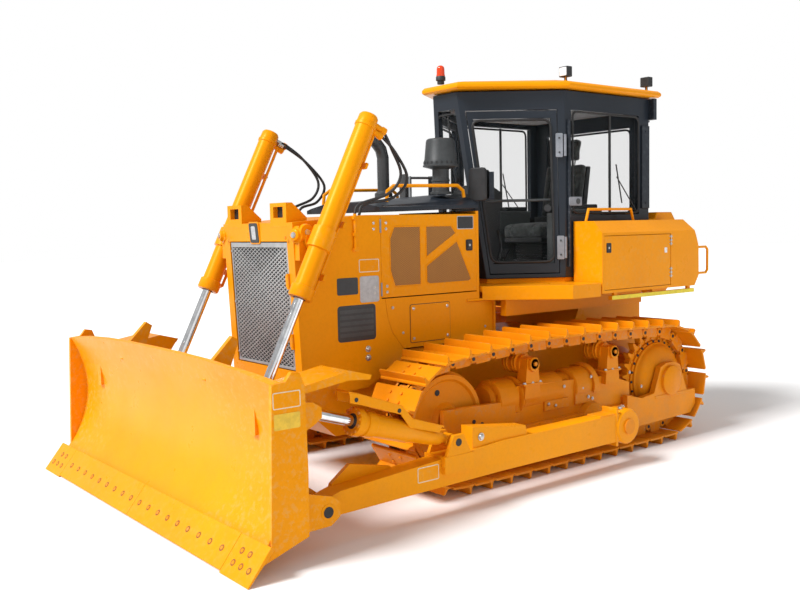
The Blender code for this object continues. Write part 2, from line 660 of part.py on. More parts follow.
def build_glass():
    step = 0.022
    gap = 0.004
    half_low, half_high = cab_plan(1.62)[0][0] - 0.06 - gap, cab_plan(CAB_TOP_Z - 0.14)[0][0] - 0.055 - gap
    pane = front_panel((1.62 + gap, CAB_TOP_Z - 0.14 - gap), half_low, half_high, -step, -step - GLASS)
    finish(pane, "windshield", "glass")
    pane = box((-0.516, 0.516), (CAB_REAR_Y - step - GLASS, CAB_REAR_Y - step),
               (WINDOW_LOW + gap, 2.80 - gap))
    finish(pane, "rear_window", "glass")
    for side in (-1, 1):
        pane = box(sorted((side * (CAB_SIDE_X - step - GLASS), side * (CAB_SIDE_X - step))),
                   (CAB_PILLAR_Y + 0.08 + gap, CAB_REAR_Y - 0.14 - gap),
                   (WINDOW_LOW + gap, CAB_TOP_Z - 0.16 - gap))
        finish(pane, side_name("side_window", side), "glass")


def build_cab_door(side):
    """The glazed door in the slanted wall; it turns on its rear edge."""
    margin = 0.008
    ends = (DOOR_ENDS[0] + margin, DOOR_ENDS[1] - margin)
    frame = door_panel(side, DOOR_LOW + margin, DOOR_HIGH - margin, ends, 0.0, -0.040)
    opening_ends = (ends[0] + 0.055, ends[1] - 0.055)
    opening = door_panel(side, DOOR_LOW + 0.09, DOOR_HIGH - 0.07, opening_ends, 0.1, -0.1)
    hinge = door_frame_points(side, 0, 0, (0, DOOR_ENDS[1]), 0.012)[1]
    frame = cut(frame, opening)
    first, last = (Vector(p) for p in door_frame_points(side, 2.16, 2.38, (ends[0] + 0.02, ends[0] + 0.15),
                                                        0.05)[:2])
    out = (first - Vector(door_frame_points(side, 2.16, 2.38, (ends[0] + 0.02, 0.5), 0.0)[0])).normalized()
    case = [first, last, last + out * 0.05, first + out * 0.05]
    mirror = loft([[(p.x, p.y, z) for p in case] for z in (2.14, 2.37)])
    foot = first.lerp(last, 0.08)
    bracket = pipe([foot - out * 0.07 + Vector((0, 0, 0.05)), foot + out * 0.02 + Vector((0, 0, 0.05))],
                   0.012)
    frame = join(frame, bracket, mirror)
    finish(frame, side_name("cab_door", side), "dark", (hinge[0], hinge[1], 0))
    gap = 0.004
    pane = door_panel(side, DOOR_LOW + 0.09 + gap, DOOR_HIGH - 0.07 - gap,
                      (opening_ends[0] + gap, opening_ends[1] - gap), -0.016, -0.016 - GLASS)
    finish(pane, side_name("door_glass", side), "glass", (hinge[0], hinge[1], 0))


def build_roof():
    def outline(z, inset):
        half = cab_plan(CAB_TOP_Z)
        (fx, fy), (px, py), (rx, ry) = half
        lap = ROOF_LAP - inset
        points = [(fx + ROOF_LAP * 1.3 - inset * 0.55, fy - lap), (px + lap, py),
                  (rx + lap, ry + lap + 0.05)]
        return [(-x, y, z) for x, y in points[::-1]] + [(x, y, z) for x, y in points]

    rings = [outline(ROOF_Z[0], 0.02), outline(ROOF_Z[0] + 0.015, 0), outline(ROOF_Z[1] - 0.02, 0),
             outline(ROOF_Z[1], 0.02), outline(ROOF_Z[1] + ROOF_DOME * 0.7, 0.16),
             outline(ROOF_Z[1] + ROOF_DOME, 0.30)]
    roof = loft(rings)
    lamps = []
    for x, y in ((0.66, 0.42), (0.66, CAB_REAR_Y + 0.02), (-0.66, 0.42), (-0.66, CAB_REAR_Y + 0.02)):
        lamps.append(box((x - 0.010, x + 0.010), (y - 0.010, y + 0.010),
                         (ROOF_Z[0] + 0.03, ROOF_Z[1] + 0.06)))
        lamps.append(box((x - 0.045, x + 0.045), (y - 0.03, y + 0.03),
                         (ROOF_Z[1] + 0.05, ROOF_Z[1] + 0.13)))
    finish(join(roof, *lamps), "cab_roof", "yellow")
    cap_z = ROOF_Z[1] + 0.018
    light = turned((-0.05, cab_plan(CAB_TOP_Z)[0][1] + 0.005, cap_z), (0, 0, 1),
                   [(0.0, 0.03), (0.03, 0.03), (0.032, 0.042), (0.064, 0.042), (0.066, 0.036),
                    (0.145, 0.033),
                    (0.158, 0.02)], 16)
    finish(light, "beacon", "amber")


def build_interior():
    floor = CAB_BOTTOM_Z + 0.032
    base = box((-0.20, 0.20), (0.62, 1.05), (floor, floor + 0.30))
    cushion = box((-0.26, 0.26), (0.52, 1.06), (floor + 0.28, floor + 0.44))
    back = prism("x", -0.25, 0.25, [(0.98, floor + 0.40), (1.12, floor + 0.40), (1.24, floor + 1.02),
                                    (1.14, floor + 1.04)])
    head = prism("x", -0.13, 0.13, [(1.13, floor + 1.02), (1.24, floor + 0.98), (1.28, floor + 1.22),
                                    (1.19, floor + 1.23)])
    finish(join(base, cushion, back, head), "seat", "black")
    plinth = box((-0.58, 0.58), (0.50, 1.02), (floor, floor + 0.02))
    plinth = cut(plinth, box((-0.22, 0.22), (0.60, 1.2), (floor - 0.1, floor + 0.1)))
    pieces = []
    for side in (-1, 1):
        pieces.append(box(sorted((side * 0.34, side * 0.54)), (0.52, 1.02), (floor, floor + 0.52)))
        pieces.append(pipe([(side * 0.44, 0.60, floor + 0.48), (side * 0.44, 0.56, floor + 0.62),
                            (side * 0.44, 0.55, floor + 0.72)], 0.018))
    finish(join(plinth, *pieces), "control_consoles", "black")
    dash = prism("x", -0.20, 0.20, [(-0.08, floor), (0.08, floor), (0.08, floor + 0.50),
                                    (0.12, floor + 0.70),
                                    (-0.04, floor + 0.78), (-0.13, floor + 0.70)])
    finish(dash, "instrument_panel", "black")


def build_platform():
    """Floor plate with slanted steps below the cab doors, on two beams over the tracks' inner edges."""
    low, high = PLATFORM_Z
    nose = HOOD_HALF + 0.015
    inner = CAB_SIDE_X + 0.012 - TOUCH
    half = [(nose, PLATFORM_Y[0]), (PLATFORM_X, STEP_CORNER_Y), (PLATFORM_X, STEP_END_Y),
            (inner, STEP_END_Y),
            (inner, PLATFORM_Y[1])]
    plate = prism("z", low, high, half + [(-x, y) for x, y in half[::-1]])
    plinth = [(x, y) for x, y, _ in cab_ring(CAB_BOTTOM_Z, 0.02)]
    pieces = [prism("z", high - 0.01, CAB_BOTTOM_Z - TOUCH, plinth)]
    for side in (-1, 1):
        skirt = [(nose, PLATFORM_Y[0]), (PLATFORM_X, STEP_CORNER_Y), (PLATFORM_X, STEP_END_Y),
                 (PLATFORM_X - 0.03, STEP_END_Y), (PLATFORM_X - 0.03, STEP_CORNER_Y + 0.012),
                 (nose, PLATFORM_Y[0] + 0.044)]
        pieces.append(prism("z", SKIRT_Z, low + 0.01, [(side * x, y) for x, y in skirt]))
        pieces.append(box(sorted((side * 0.56, side * 0.62)), (-0.28, PLATFORM_Y[1]), (1.18, low + 0.01)))
    pieces.append(box((-0.60, 0.60), (0.2, 0.3), (1.20, low + 0.01)))
    pieces.append(box((-0.60, 0.60), (1.2, 1.4), (1.302, low + 0.01)))
    finish(join(plate, *pieces), "platform", "yellow")


def box_outline():
    rear, low = BOX_REAR_Y, BOX_BOTTOM_Z
    return [(BOX_FRONT_Y, low), (rear - 0.066, low), (rear, low + 0.095), (rear - 0.005, 1.70),
            (rear - 0.045, 1.80), (rear - 0.12, BOX_TOP_Z), (BOX_FRONT_Y, BOX_TOP_Z)]


def shoulder_cutter(side):
    """Takes the sloping shoulder off a rear box's outer top edge."""
    x = PLATFORM_X + 0.002
    run = BOX_SHOULDER_X + 0.002
    return prism("y", BOX_FRONT_Y - 0.2, 2.2,
                 [(side * (x + 0.1), BOX_SHOULDER_Z), (side * x, BOX_SHOULDER_Z),
                  (side * (x - run), BOX_TOP_Z + 0.001), (side * (x - run), BOX_TOP_Z + 0.2),
                  (side * (x + 0.1), BOX_TOP_Z + 0.2)])


def build_rear_boxes():
    """Battery box and hydraulic tank with rails, rear handles and bumper strips, and the fuel tank."""
    inner = CAB_SIDE_X + 0.012
    for side, name in ((1, "battery_box"), (-1, "hydraulic_tank")):
        block = prism("x", *sorted((side * inner, side * PLATFORM_X)), box_outline())
        block = cut(block, shoulder_cutter(side))
        if side > 0:
            recess = box((PLATFORM_X - 0.24, PLATFORM_X + 0.1),
                         (BATTERY_DOOR_Y[0] - 0.004, BATTERY_DOOR_Y[1] + 0.004),
                         (BATTERY_DOOR_Z[0] - 0.004, BATTERY_DOOR_Z[1] + 0.004))
            block = cut(block, recess)
        x = side * (PLATFORM_X - 0.022)
        reach = BOX_REAR_Y + HANDLE_REACH
        handle = pipe([(x, BOX_REAR_Y - 0.03, 1.685), (x, reach - 0.025, 1.685), (x, reach, 1.66),
                       (x, reach, 1.47),
                       (x, reach - 0.025, 1.445), (x, BOX_REAR_Y - 0.03, 1.445)], HANDLE_R)
        x = side * 0.80
        rail = pipe([(x, 0.50, BOX_TOP_Z - 0.02), (x, 0.54, BOX_TOP_Z + 0.10), (x, 1.11, BOX_TOP_Z + 0.10),
                     (x, 1.15, BOX_TOP_Z - 0.02)], HANDLE_R)
        strip = box(sorted((side * (PLATFORM_X - 0.04), side * PLATFORM_X)), (0.575, 1.746), (1.278, 1.312))
        posts = [box(sorted((side * (PLATFORM_X - 0.036), side * (PLATFORM_X - 0.012))), (y, y + 0.04),
                     (1.30, 1.35))
                 for y in (0.62, 1.14, 1.66)]
        finish(join(block, handle, rail, strip, *posts), name, "yellow")
    door = box((PLATFORM_X - 0.022, PLATFORM_X - 0.002), BATTERY_DOOR_Y, BATTERY_DOOR_Z)
    finish(door, "battery_door", "yellow", (PLATFORM_X + 0.010, BATTERY_DOOR_Y[1] + 0.002, 0))
    tank = prism("x", -CAB_SIDE_X + 0.004, CAB_SIDE_X - 0.004,
                 [(CAB_REAR_Y + 0.02, 1.32), (1.60, 1.26), (1.76, 1.26), (1.88, 1.36), (1.92, 1.48),
                  (1.92, 1.94),
                  (1.86, 2.015), (1.63, 2.015), (1.60, 1.95), (CAB_REAR_Y + 0.02, 1.95)])
    finish(tank, "fuel_tank", "yellow")


def build_stacks():
    hood_z = HOOD_EDGE_Z + HOOD_CROWN
    x, y = -0.20, -0.885
    stack = turned((x, y, hood_z + 0.004), (0, 0, 1), [(0, 0.075), (0.03, 0.075), (0.05, 0.05),
                                                       (0.31, 0.05)], 16)
    elbow = pipe([(x, y, hood_z + 0.30), (x, y, hood_z + 0.33), (x, y - 0.02, hood_z + 0.40),
                  (x, y - 0.07, hood_z + 0.455), (x, y - 0.13, hood_z + 0.49)], 0.05, 16)
    finish(join(stack, elbow), "exhaust_stack", "black")
    cleaner = turned((0.28, -0.665, hood_z + 0.01), (0, 0, 1),
                     [(0, 0.085), (0.02, 0.085), (0.03, 0.068), (0.20, 0.068), (0.215, 0.12),
                      (0.225, 0.145),
                      (0.25, 0.145), (0.26, 0.138), (0.445, 0.118), (0.455, 0.10)], 24)
    finish(cleaner, "air_precleaner", "black")


def build_handrails():
    for side in (-1, 1):
        x = side * 0.43
        low = HOOD_EDGE_Z + 0.075
        rail = pipe([(x, -1.34, low), (x, -1.33, low + 0.08), (x, -1.27, low + 0.12),
                     (x, -0.62, low + 0.13),
                     (x, -0.56, low + 0.09), (x, -0.55, low + 0.035)], 0.014, 8)
        finish(rail, side_name("hood_rail", side), "yellow")


# ---- Blade and linkage ---------------------------------------------------------------------------

def edge_directions():
    """Unit vectors down the cutting edge and square to it, rearwards."""
    along = (Vector(EDGE_TIP) - Vector(EDGE_TOP)).normalized()
    return along, Vector((-along.y, along.x))


def blade_bottom():
    """Where the moldboard's front face meets the top of the cutting edge's back."""
    return Vector(EDGE_TOP) + edge_directions()[1] * (EDGE_PLATE + TOUCH)


def blade_front(share, crown):
    """A point on the moldboard's front face, from its bottom edge to its top."""
    bottom, top = blade_bottom(), Vector(BLADE_TOP)
    chord = top - bottom
    back = Vector((chord.y, -chord.x)).normalized()
    bow = 4 * share * (1 - share) * BLADE_HOLLOW
    return bottom + chord * share + back * bow + Vector((0, crown * share ** 3))


def along_blade(x_values, shares, depths):
    """A bar or rib that follows the moldboard, between two depths behind its front face."""
    rings = []
    for x in x_values:
        crown = BLADE_CROWN * (1 - abs(x / BLADE_HALF) ** 3)
        front = [blade_front(share, crown) for share in shares]
        ring = []
        for depth, points in ((depths[0], front), (depths[1], front[::-1])):
            for point in points:
                k = front.index(point)
                run = front[min(k + 1, len(front) - 1)] - front[max(k - 1, 0)]
                along = run.normalized()
                spot = point + Vector((along.y, -along.x)) * depth
                ring.append((x, spot.x, spot.y))
        rings.append(ring)
    return loft(rings)


def build_blade():
    """Moldboard with its side plates, back beams and ribs, ears for arms and cylinders, and two guards."""
    columns, rows = 8, 9
    reach = BLADE_HALF - 0.015
    x_values = [reach * (2 * c / columns - 1) for c in range(columns + 1)]
    rings = []
    for x in x_values:
        crown = BLADE_CROWN * (1 - abs(x / BLADE_HALF) ** 3)
        front = [blade_front(r / rows, crown) for r in range(rows + 1)]
        front = [front[0] + edge_directions()[0] * EDGE_BACKING] + front
        back = []
        for i, point in enumerate(front):
            along = (front[min(i + 1, rows + 1)] - front[max(i - 1, 0)]).normalized()
            back.append(point + Vector((along.y, -along.x)) * BLADE_SHEET)
        rings.append([(x, p.x, p.y) for p in front + back[::-1]])
    board = loft(rings)
    pieces = []
    side_plate = [(-3.085, 1.076), (-2.995, 1.085), (-2.955, 1.135), (-2.90, 1.125), (-2.87, 1.05),
                  (-2.862, 0.55), (-2.868, 0.18), (-3.19, 0.075), (-3.115, 0.17), (-3.115, 0.20)]
    for side in (-1, 1):
        pieces.append(prism("x", *sorted((side * (BLADE_HALF - 0.03), side * BLADE_HALF)), side_plate))
    inside = BLADE_SHEET * 0.85
    pieces.append(prism("x", -reach, reach, [(-3.085, 0.16), (-2.89, 0.20), (-2.875, 0.42), (-2.96, 0.46),
                                             (-3.0, 0.42), (-3.04, 0.28)]))
    pieces.append(along_blade(x_values, (0.84, 0.94), (inside, 0.10)))
    for x in (-1.1, -0.30, 0.30, 1.1):
        pieces.append(along_blade((x - 0.015, x + 0.015), (0.22, 0.40, 0.60, 0.78, 0.93), (inside, 0.085)))
    ear = 0.03
    for side in (-1, 1):
        for offset in (-1, 1):
            low = side * ARM_X + offset * (ARM_WIDTH / 2 + TILT_PLAY) - (ear if offset < 0 else 0)
            y, z = ARM_PIN
            pieces.append(prism("x", low, low + ear, [(-2.90, z - 0.09), (y + 0.02, z - 0.085),
                                                      (y + 0.085, z - 0.04),
                                                      (y + 0.085, z + 0.05), (y + 0.03, z + 0.09),
                                                      (-2.90, z + 0.16)]))
            y, z = TILT_FRONT
            low = side * ARM_X + offset * TILT_EAR - (ear if offset < 0 else 0)
            pieces.append(prism("x", low, low + ear, [(-2.95, z - 0.16), (y, z - 0.07),
                                                      (y + 0.06, z - 0.03),
                                                      (y + 0.06, z + 0.03), (y, z + 0.07),
                                                      (-2.97, z + 0.10)]))
            y, z = LIFT_EYE
            low = side * LIFT_X + offset * (0.03 + LIFT_PLAY) - (ear if offset < 0 else 0)
            pieces.append(prism("x", low, low + ear, [(-2.95, z - 0.18), (y, z - 0.08),
                                                      (y + 0.07, z - 0.03),
                                                      (y + 0.07, z + 0.03), (y, z + 0.08),
                                                      (-2.95, z + 0.18)]))
        rib = [(-3.025, 0.99), (-2.98, 1.09), (-2.82, 1.25), (-2.775, 1.22), (-2.86, 1.00), (-2.95, 0.90)]
        pieces.append(prism("x", *sorted((side * (LIFT_X - 0.02), side * (LIFT_X + 0.02))), rib))
        cover = [(-3.0, 0.955), (-2.96, 1.0), (-2.476, 1.077), (-2.319, 1.034), (-2.335, 1.008),
                 (-2.49, 1.02)]
        inner, outer = ARM_X - 0.20, ARM_X + 0.12
        pieces.append(prism("x", *sorted((side * inner, side * outer)), cover))
        web = [(-2.99, 0.72), (-2.99, 0.97), (-2.49, 1.03), (-2.335, 1.015), (-2.445, 0.867),
               (-2.574, 0.778)]
        pieces.append(prism("x", *sorted((side * inner, side * (inner + 0.06))), web))
    finish(join(board, *pieces), "blade", "yellow", (-ARM_X, *ARM_PIN))


def build_cutting_edge():
    top, tip = Vector(EDGE_TOP), Vector(EDGE_TIP)
    along, back = edge_directions()
    outline = [top, tip, tip + back * EDGE_PLATE * 0.4 - along * 0.01, top + back * EDGE_PLATE]
    outline = [(p.x, p.y) for p in outline]
    finish(prism("x", -EDGE_HALF, EDGE_HALF, outline), "cutting_edge", "yellow", (-ARM_X, *ARM_PIN))


def build_push_arm(side):
    """A box beam from the ball on the track frame to the pin behind the blade."""
    half = ARM_WIDTH / 2
    y, z = ARM_PIN
    beam = [(TRUNNION_Y - 0.06, 0.225), (TRUNNION_Y - 0.06, 0.44), (-1.17, 0.436), (y + 0.14, 0.345),
            (y + 0.02, z + 0.055),
            (y + 0.02, z - 0.055), (y + 0.14, 0.20), (-1.17, 0.222)]
    x = sorted((side * (ARM_X - half), side * (ARM_X + half)))
    arm = prism("x", *x, beam)
    eye = turned((x[0], y, z), (1, 0, 0), [(0, 0.065), (ARM_WIDTH, 0.065)], 20)
    collar = turned((x[0] - 0.005, TRUNNION_Y, TRUNNION_Z), (1, 0, 0),
                    [(0, 0.127), (ARM_WIDTH + 0.01, 0.127)], 24)
    ty, tz = TILT_REAR
    lugs = []
    for offset in (-1, 1):
        low = side * ARM_X + offset * TILT_LUG - (0.028 if offset < 0 else 0)
        lugs.append(prism("x", low, low + 0.028, [(ty - 0.13, 0.35), (ty + 0.15, 0.35),
                                                  (ty + 0.05, tz + 0.05),
                                                  (ty - 0.04, tz + 0.05)]))
    saddle = box((x[0] - 0.036, x[1] + 0.036), (ty - 0.12, ty + 0.14), (0.30, 0.415))
    lugs.append(saddle)
    if side > 0:
        cover = [(ty + 0.17, 0.41), (ty + 0.17, 0.568), (-0.924, 0.504), (-0.90, 0.41)]
        lugs.append(prism("x", ARM_X - 0.055, ARM_X + 0.055, cover))
    tip = [(y + 0.10, z - 0.05), (y + 0.16, z + 0.10), (y + 0.30, z + 0.20), (y + 0.62, z + 0.13),
           (y + 0.62, z - 0.03)]
    inner = side * (ARM_X - half)
    lugs.append(prism("x", *sorted((inner + side * 0.012, inner - side * 0.02)), tip))
    arm = join(arm, eye, collar, *lugs)
    bore = rod_between((side * (ARM_X - 0.2), TRUNNION_Y, TRUNNION_Z),
                       (side * (ARM_X + 0.2), TRUNNION_Y, TRUNNION_Z),
                       TRUNNION_R + PIN_PLAY, 20)
    finish(cut(arm, bore), side_name("push_arm", side), "yellow", (side * ARM_X, TRUNNION_Y, TRUNNION_Z))


def build_tilt_gear():
    rear, front = Vector((0, *TILT_REAR)), Vector((0, *TILT_FRONT))
    way = (front - rear).normalized()
    length = (front - rear).length
    barrel_end = length * 0.70
    start = Vector((ARM_X, 0, 0)) + rear
    barrel = turned(start, way, [(0.09, 0.05), (0.11, TILT_BARREL_R), (barrel_end - 0.07, TILT_BARREL_R),
                                 (barrel_end - 0.068, TILT_BARREL_R + 0.018),
                                 (barrel_end, TILT_BARREL_R + 0.018)], 20)
    neck = turned(start, way, [(0, 0.03), (0.12, 0.03)], 12)
    eye = turned(start - Vector((0.035, 0, 0)), (1, 0, 0), [(0, 0.045), (0.07, 0.045)], 16)
    plate = [(-2.459, 0.944), (-2.385, 0.922), (-2.045, 0.801), (-1.965, 0.705), (-1.70, 0.618),
             (-1.70, 0.606), (-1.972, 0.694), (-2.052, 0.790), (-2.388, 0.910), (-2.459, 0.931)]
    guard = prism("x", ARM_X - 0.07, ARM_X + 0.07, plate)
    webs = []
    for offset in (-0.05, 0.04):
        webs.append(prism("x", ARM_X + offset, ARM_X + offset + 0.01,
                          [(-2.385, 0.918), (-2.045, 0.797), (-1.965, 0.701), (-1.72, 0.62), (-1.74, 0.57),
                           (-2.05, 0.66), (-2.36, 0.76)]))
    barrel = join(barrel, neck, eye, guard, *webs)
    bore = turned(start, way, [(0.13, TILT_ROD_R + PIN_PLAY), (length, TILT_ROD_R + PIN_PLAY)], 16)
    finish(cut(barrel, bore), "tilt_cylinder_barrel", "yellow", start)
    rod = turned(start, way, [(0.20, TILT_ROD_R), (length, TILT_ROD_R)], 16)
    eye = turned(start + way * length - Vector((0.03, 0, 0)), (1, 0, 0), [(0, 0.05), (0.06, 0.05)], 16)
    finish(join(rod, eye), "tilt_cylinder_rod", "steel", start)
    start = Vector((-ARM_X, 0, 0)) + rear
    brace = turned(start, way, [(0.0, 0.032), (0.14, 0.032), (0.16, 0.055), (length - 0.16, 0.055),
                                (length - 0.14, 0.032), (length, 0.032)], 16)
    ends = [turned(start + way * at - Vector((0.035, 0, 0)), (1, 0, 0), [(0, 0.05), (0.07, 0.05)], 16)
            for at in (0, length)]
    finish(join(brace, *ends), "tilt_brace", "yellow", (-ARM_X, *ARM_PIN))


def build_lift_cylinder(side):
    pivot, eye_spot = Vector((side * LIFT_X, *LIFT_PIVOT)), Vector((side * LIFT_X, *LIFT_EYE))
    down = (eye_spot - pivot).normalized()
    length = (eye_spot - pivot).length
    barrel = turned(pivot, down, [(-LIFT_UP, 0.05), (-LIFT_UP + 0.02, LIFT_BARREL_R),
                                  (LIFT_DOWN - 0.06, LIFT_BARREL_R),
                                  (LIFT_DOWN - 0.058, LIFT_BARREL_R + 0.014),
                                  (LIFT_DOWN, LIFT_BARREL_R + 0.014)], 24)
    collar = turned(pivot, down, [(-0.075, LIFT_BARREL_R + 0.016), (0.075, LIFT_BARREL_R + 0.016)], 24)
    barrel = join(barrel, collar)
    bore = turned(pivot, down, [(-LIFT_UP + 0.03, LIFT_ROD_R + PIN_PLAY),
                                (LIFT_DOWN + 0.1, LIFT_ROD_R + PIN_PLAY)], 20)
    barrel = cut(barrel, bore)
    finish(barrel, side_name("lift_cylinder_barrel", side), "yellow", pivot)
    top = length - LIFT_ROD_LENGTH
    rod = turned(pivot, down, [(top, LIFT_ROD_R), (length, LIFT_ROD_R)], 20)
    eye = turned(eye_spot - Vector((0.03, 0, 0)), (1, 0, 0), [(0, 0.06), (0.06, 0.06)], 20)
    finish(join(rod, eye), side_name("lift_cylinder_rod", side), "steel", pivot)


build_main_frame()
build_engine()
build_radiator_guard()
build_grille()
build_radiator()
build_hood()
build_hood_frame()
build_cab()
build_glass()
build_roof()
build_interior()
build_platform()
build_rear_boxes()
build_stacks()
build_handrails()
build_blade()
build_cutting_edge()
build_tilt_gear()
for which in (1, -1):
    build_track(which)
    build_idler(which)
    build_sprocket(which)
    build_track_frame(which)
    build_engine_door(which)
    build_cab_door(which)
    build_push_arm(which)
    build_lift_cylinder(which)
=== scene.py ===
"""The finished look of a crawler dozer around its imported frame, in metres, +Z up and -Y forwards."""
import json
import math

import bmesh
import bpy
from mathutils import Matrix, Vector

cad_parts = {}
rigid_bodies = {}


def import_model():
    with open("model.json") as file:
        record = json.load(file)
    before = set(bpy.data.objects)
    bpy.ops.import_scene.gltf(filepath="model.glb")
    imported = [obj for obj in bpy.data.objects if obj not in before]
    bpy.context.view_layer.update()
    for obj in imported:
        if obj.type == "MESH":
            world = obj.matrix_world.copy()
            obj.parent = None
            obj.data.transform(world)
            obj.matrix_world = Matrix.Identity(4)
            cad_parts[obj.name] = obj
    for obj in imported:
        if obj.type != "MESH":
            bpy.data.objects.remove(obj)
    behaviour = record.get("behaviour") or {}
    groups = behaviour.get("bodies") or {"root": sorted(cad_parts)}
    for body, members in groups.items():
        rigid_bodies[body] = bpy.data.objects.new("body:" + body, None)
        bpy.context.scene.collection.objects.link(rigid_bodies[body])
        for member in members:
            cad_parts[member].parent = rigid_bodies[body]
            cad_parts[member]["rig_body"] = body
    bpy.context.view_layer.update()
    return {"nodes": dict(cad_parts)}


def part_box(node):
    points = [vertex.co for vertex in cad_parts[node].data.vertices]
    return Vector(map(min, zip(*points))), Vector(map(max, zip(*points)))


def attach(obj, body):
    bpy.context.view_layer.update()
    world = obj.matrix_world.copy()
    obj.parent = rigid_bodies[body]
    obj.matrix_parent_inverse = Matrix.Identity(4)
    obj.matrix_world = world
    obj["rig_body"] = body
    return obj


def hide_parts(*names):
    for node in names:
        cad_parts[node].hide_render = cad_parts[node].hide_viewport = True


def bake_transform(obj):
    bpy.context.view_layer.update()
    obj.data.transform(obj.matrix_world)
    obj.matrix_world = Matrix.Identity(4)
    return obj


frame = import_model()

NODES = frame["nodes"]
SIDES = ((1, "left"), (-1, "right"))
MID_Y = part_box("cutting_edge")[0][1] + 3.31   # every place below is told from the middle of the tracks

TRACK_X, SHOE_HALF, SHOES = 0.94, 0.255, 37
IDLER_Y, IDLER_R, SPROCKET_Y, SPROCKET_R = -1.29, 0.40, 1.20, 0.415
TIP = 0.125                      # height of a grouser's tip under the pin line
CARRIER_YS, CARRIER_Z = (-0.50, 0.45), 0.865
EDGE_TOP, EDGE_TIP = (-3.155, 0.20), (-3.31, 0.005)
ARM_PIN = (-2.675, 0.258)
DOOR_SIDE, GUARD_SIDE = 0.5, 0.505   # the engine doors' and the radiator guard's outer faces
LIFT_X, LIFT_PIVOT, LIFT_EYE = 0.68, (-2.10, 1.85), (-2.745, 0.55)
TILT_X, TILT_REAR, TILT_FRONT = 1.40, (-1.609, 0.50), (-2.726, 0.845)


# ---- Camera ----------------------------------------------------------------------------------------

def place_camera():
    data = bpy.data.cameras.new("camera")
    data.lens, data.sensor_width = 41.77, 36.0
    data.clip_end = 200
    camera = bpy.data.objects.new("camera", data)
    bpy.context.scene.collection.objects.link(camera)
    ahead, right, up = (Vector(v) for v in ((-0.78296, 0.61703, -0.07903), (0.62012, 0.78424, -0.02065),
                                            (-0.04924, 0.06518, 0.99666)))
    turn = Matrix((right, up, -ahead)).transposed().to_4x4()
    camera.matrix_world = Matrix.Translation((6.02694, MID_Y - 5.64079, 1.93141)) @ turn
    bpy.context.scene.camera = camera


# ---- Finishes --------------------------------------------------------------------------------------

class Finish:
    """A Principled material with helpers for its node tree."""

    def __init__(self, name, **settings):
        self.material = bpy.data.materials.new(name)
        self.material.use_nodes = True
        self.tree = self.material.node_tree
        self.shader = self.tree.nodes["Principled BSDF"]
        for key, value in settings.items():
            self.shader.inputs[key.replace("_", " ")].default_value = value
        self.where = self.node("ShaderNodeTexCoord").outputs["Object"]

    def node(self, kind, **values):
        made = self.tree.nodes.new(kind)
        for key, value in values.items():
            if key in made.inputs.keys():
                made.inputs[key].default_value = value
            else:
                setattr(made, key, value)
        return made

    def link(self, start, end):
        self.tree.links.new(start, end)

    def noise(self, scale, detail=4.0, rough=0.55, stretch=None):
        made = self.node("ShaderNodeTexNoise", Scale=scale, Detail=detail, Roughness=rough)
        source = self.where
        if stretch:
            mapping = self.node("ShaderNodeMapping", Scale=stretch)
            self.link(source, mapping.inputs["Vector"])
            source = mapping.outputs["Vector"]
        self.link(source, made.inputs["Vector"])
        return made.outputs["Fac"]

    def ramp(self, source, *stops):
        made = self.node("ShaderNodeValToRGB")
        bar = made.color_ramp
        for i, (spot, colour) in enumerate(stops):
            stop = bar.elements[i] if i < 2 else bar.elements.new(spot)
            stop.position = spot
            stop.color = (*colour, 1) if hasattr(colour, "__len__") else (colour, colour, colour, 1)
        self.link(source, made.inputs["Fac"])
        return made.outputs["Color"]

    def mix(self, share, first, second, kind="MIX"):
        made = self.node("ShaderNodeMix", data_type="RGBA", blend_type=kind)
        for socket, value in ((made.inputs[0], share), (made.inputs[6], first), (made.inputs[7], second)):
            if hasattr(value, "is_linked"):
                self.link(value, socket)
            elif hasattr(value, "__len__"):
                socket.default_value = (*value, 1)
            else:
                socket.default_value = value
        return made.outputs[2]

    def colour(self, source):
        self.link(source, self.shader.inputs["Base Color"])

    def rough(self, source):
        self.link(source, self.shader.inputs["Roughness"])

    def bump(self, height, strength, distance):
        made = self.node("ShaderNodeBump", Strength=strength, Distance=distance)
        self.link(height, made.inputs["Height"])
        self.link(made.outputs["Normal"], self.shader.inputs["Normal"])

    def edges(self, low, high):
        """White along outer edges."""
        return self.ramp(self.node("ShaderNodeNewGeometry").outputs["Pointiness"], (low, 0.0),
            (high, 1.0))

    def height(self, low, high):
        """White below low and black above high, over the ground."""
        split = self.node("ShaderNodeSeparateXYZ")
        self.link(self.where, split.inputs[0])
        return self.ramp(split.outputs["Z"], (low, 1.0), (high, 0.0))


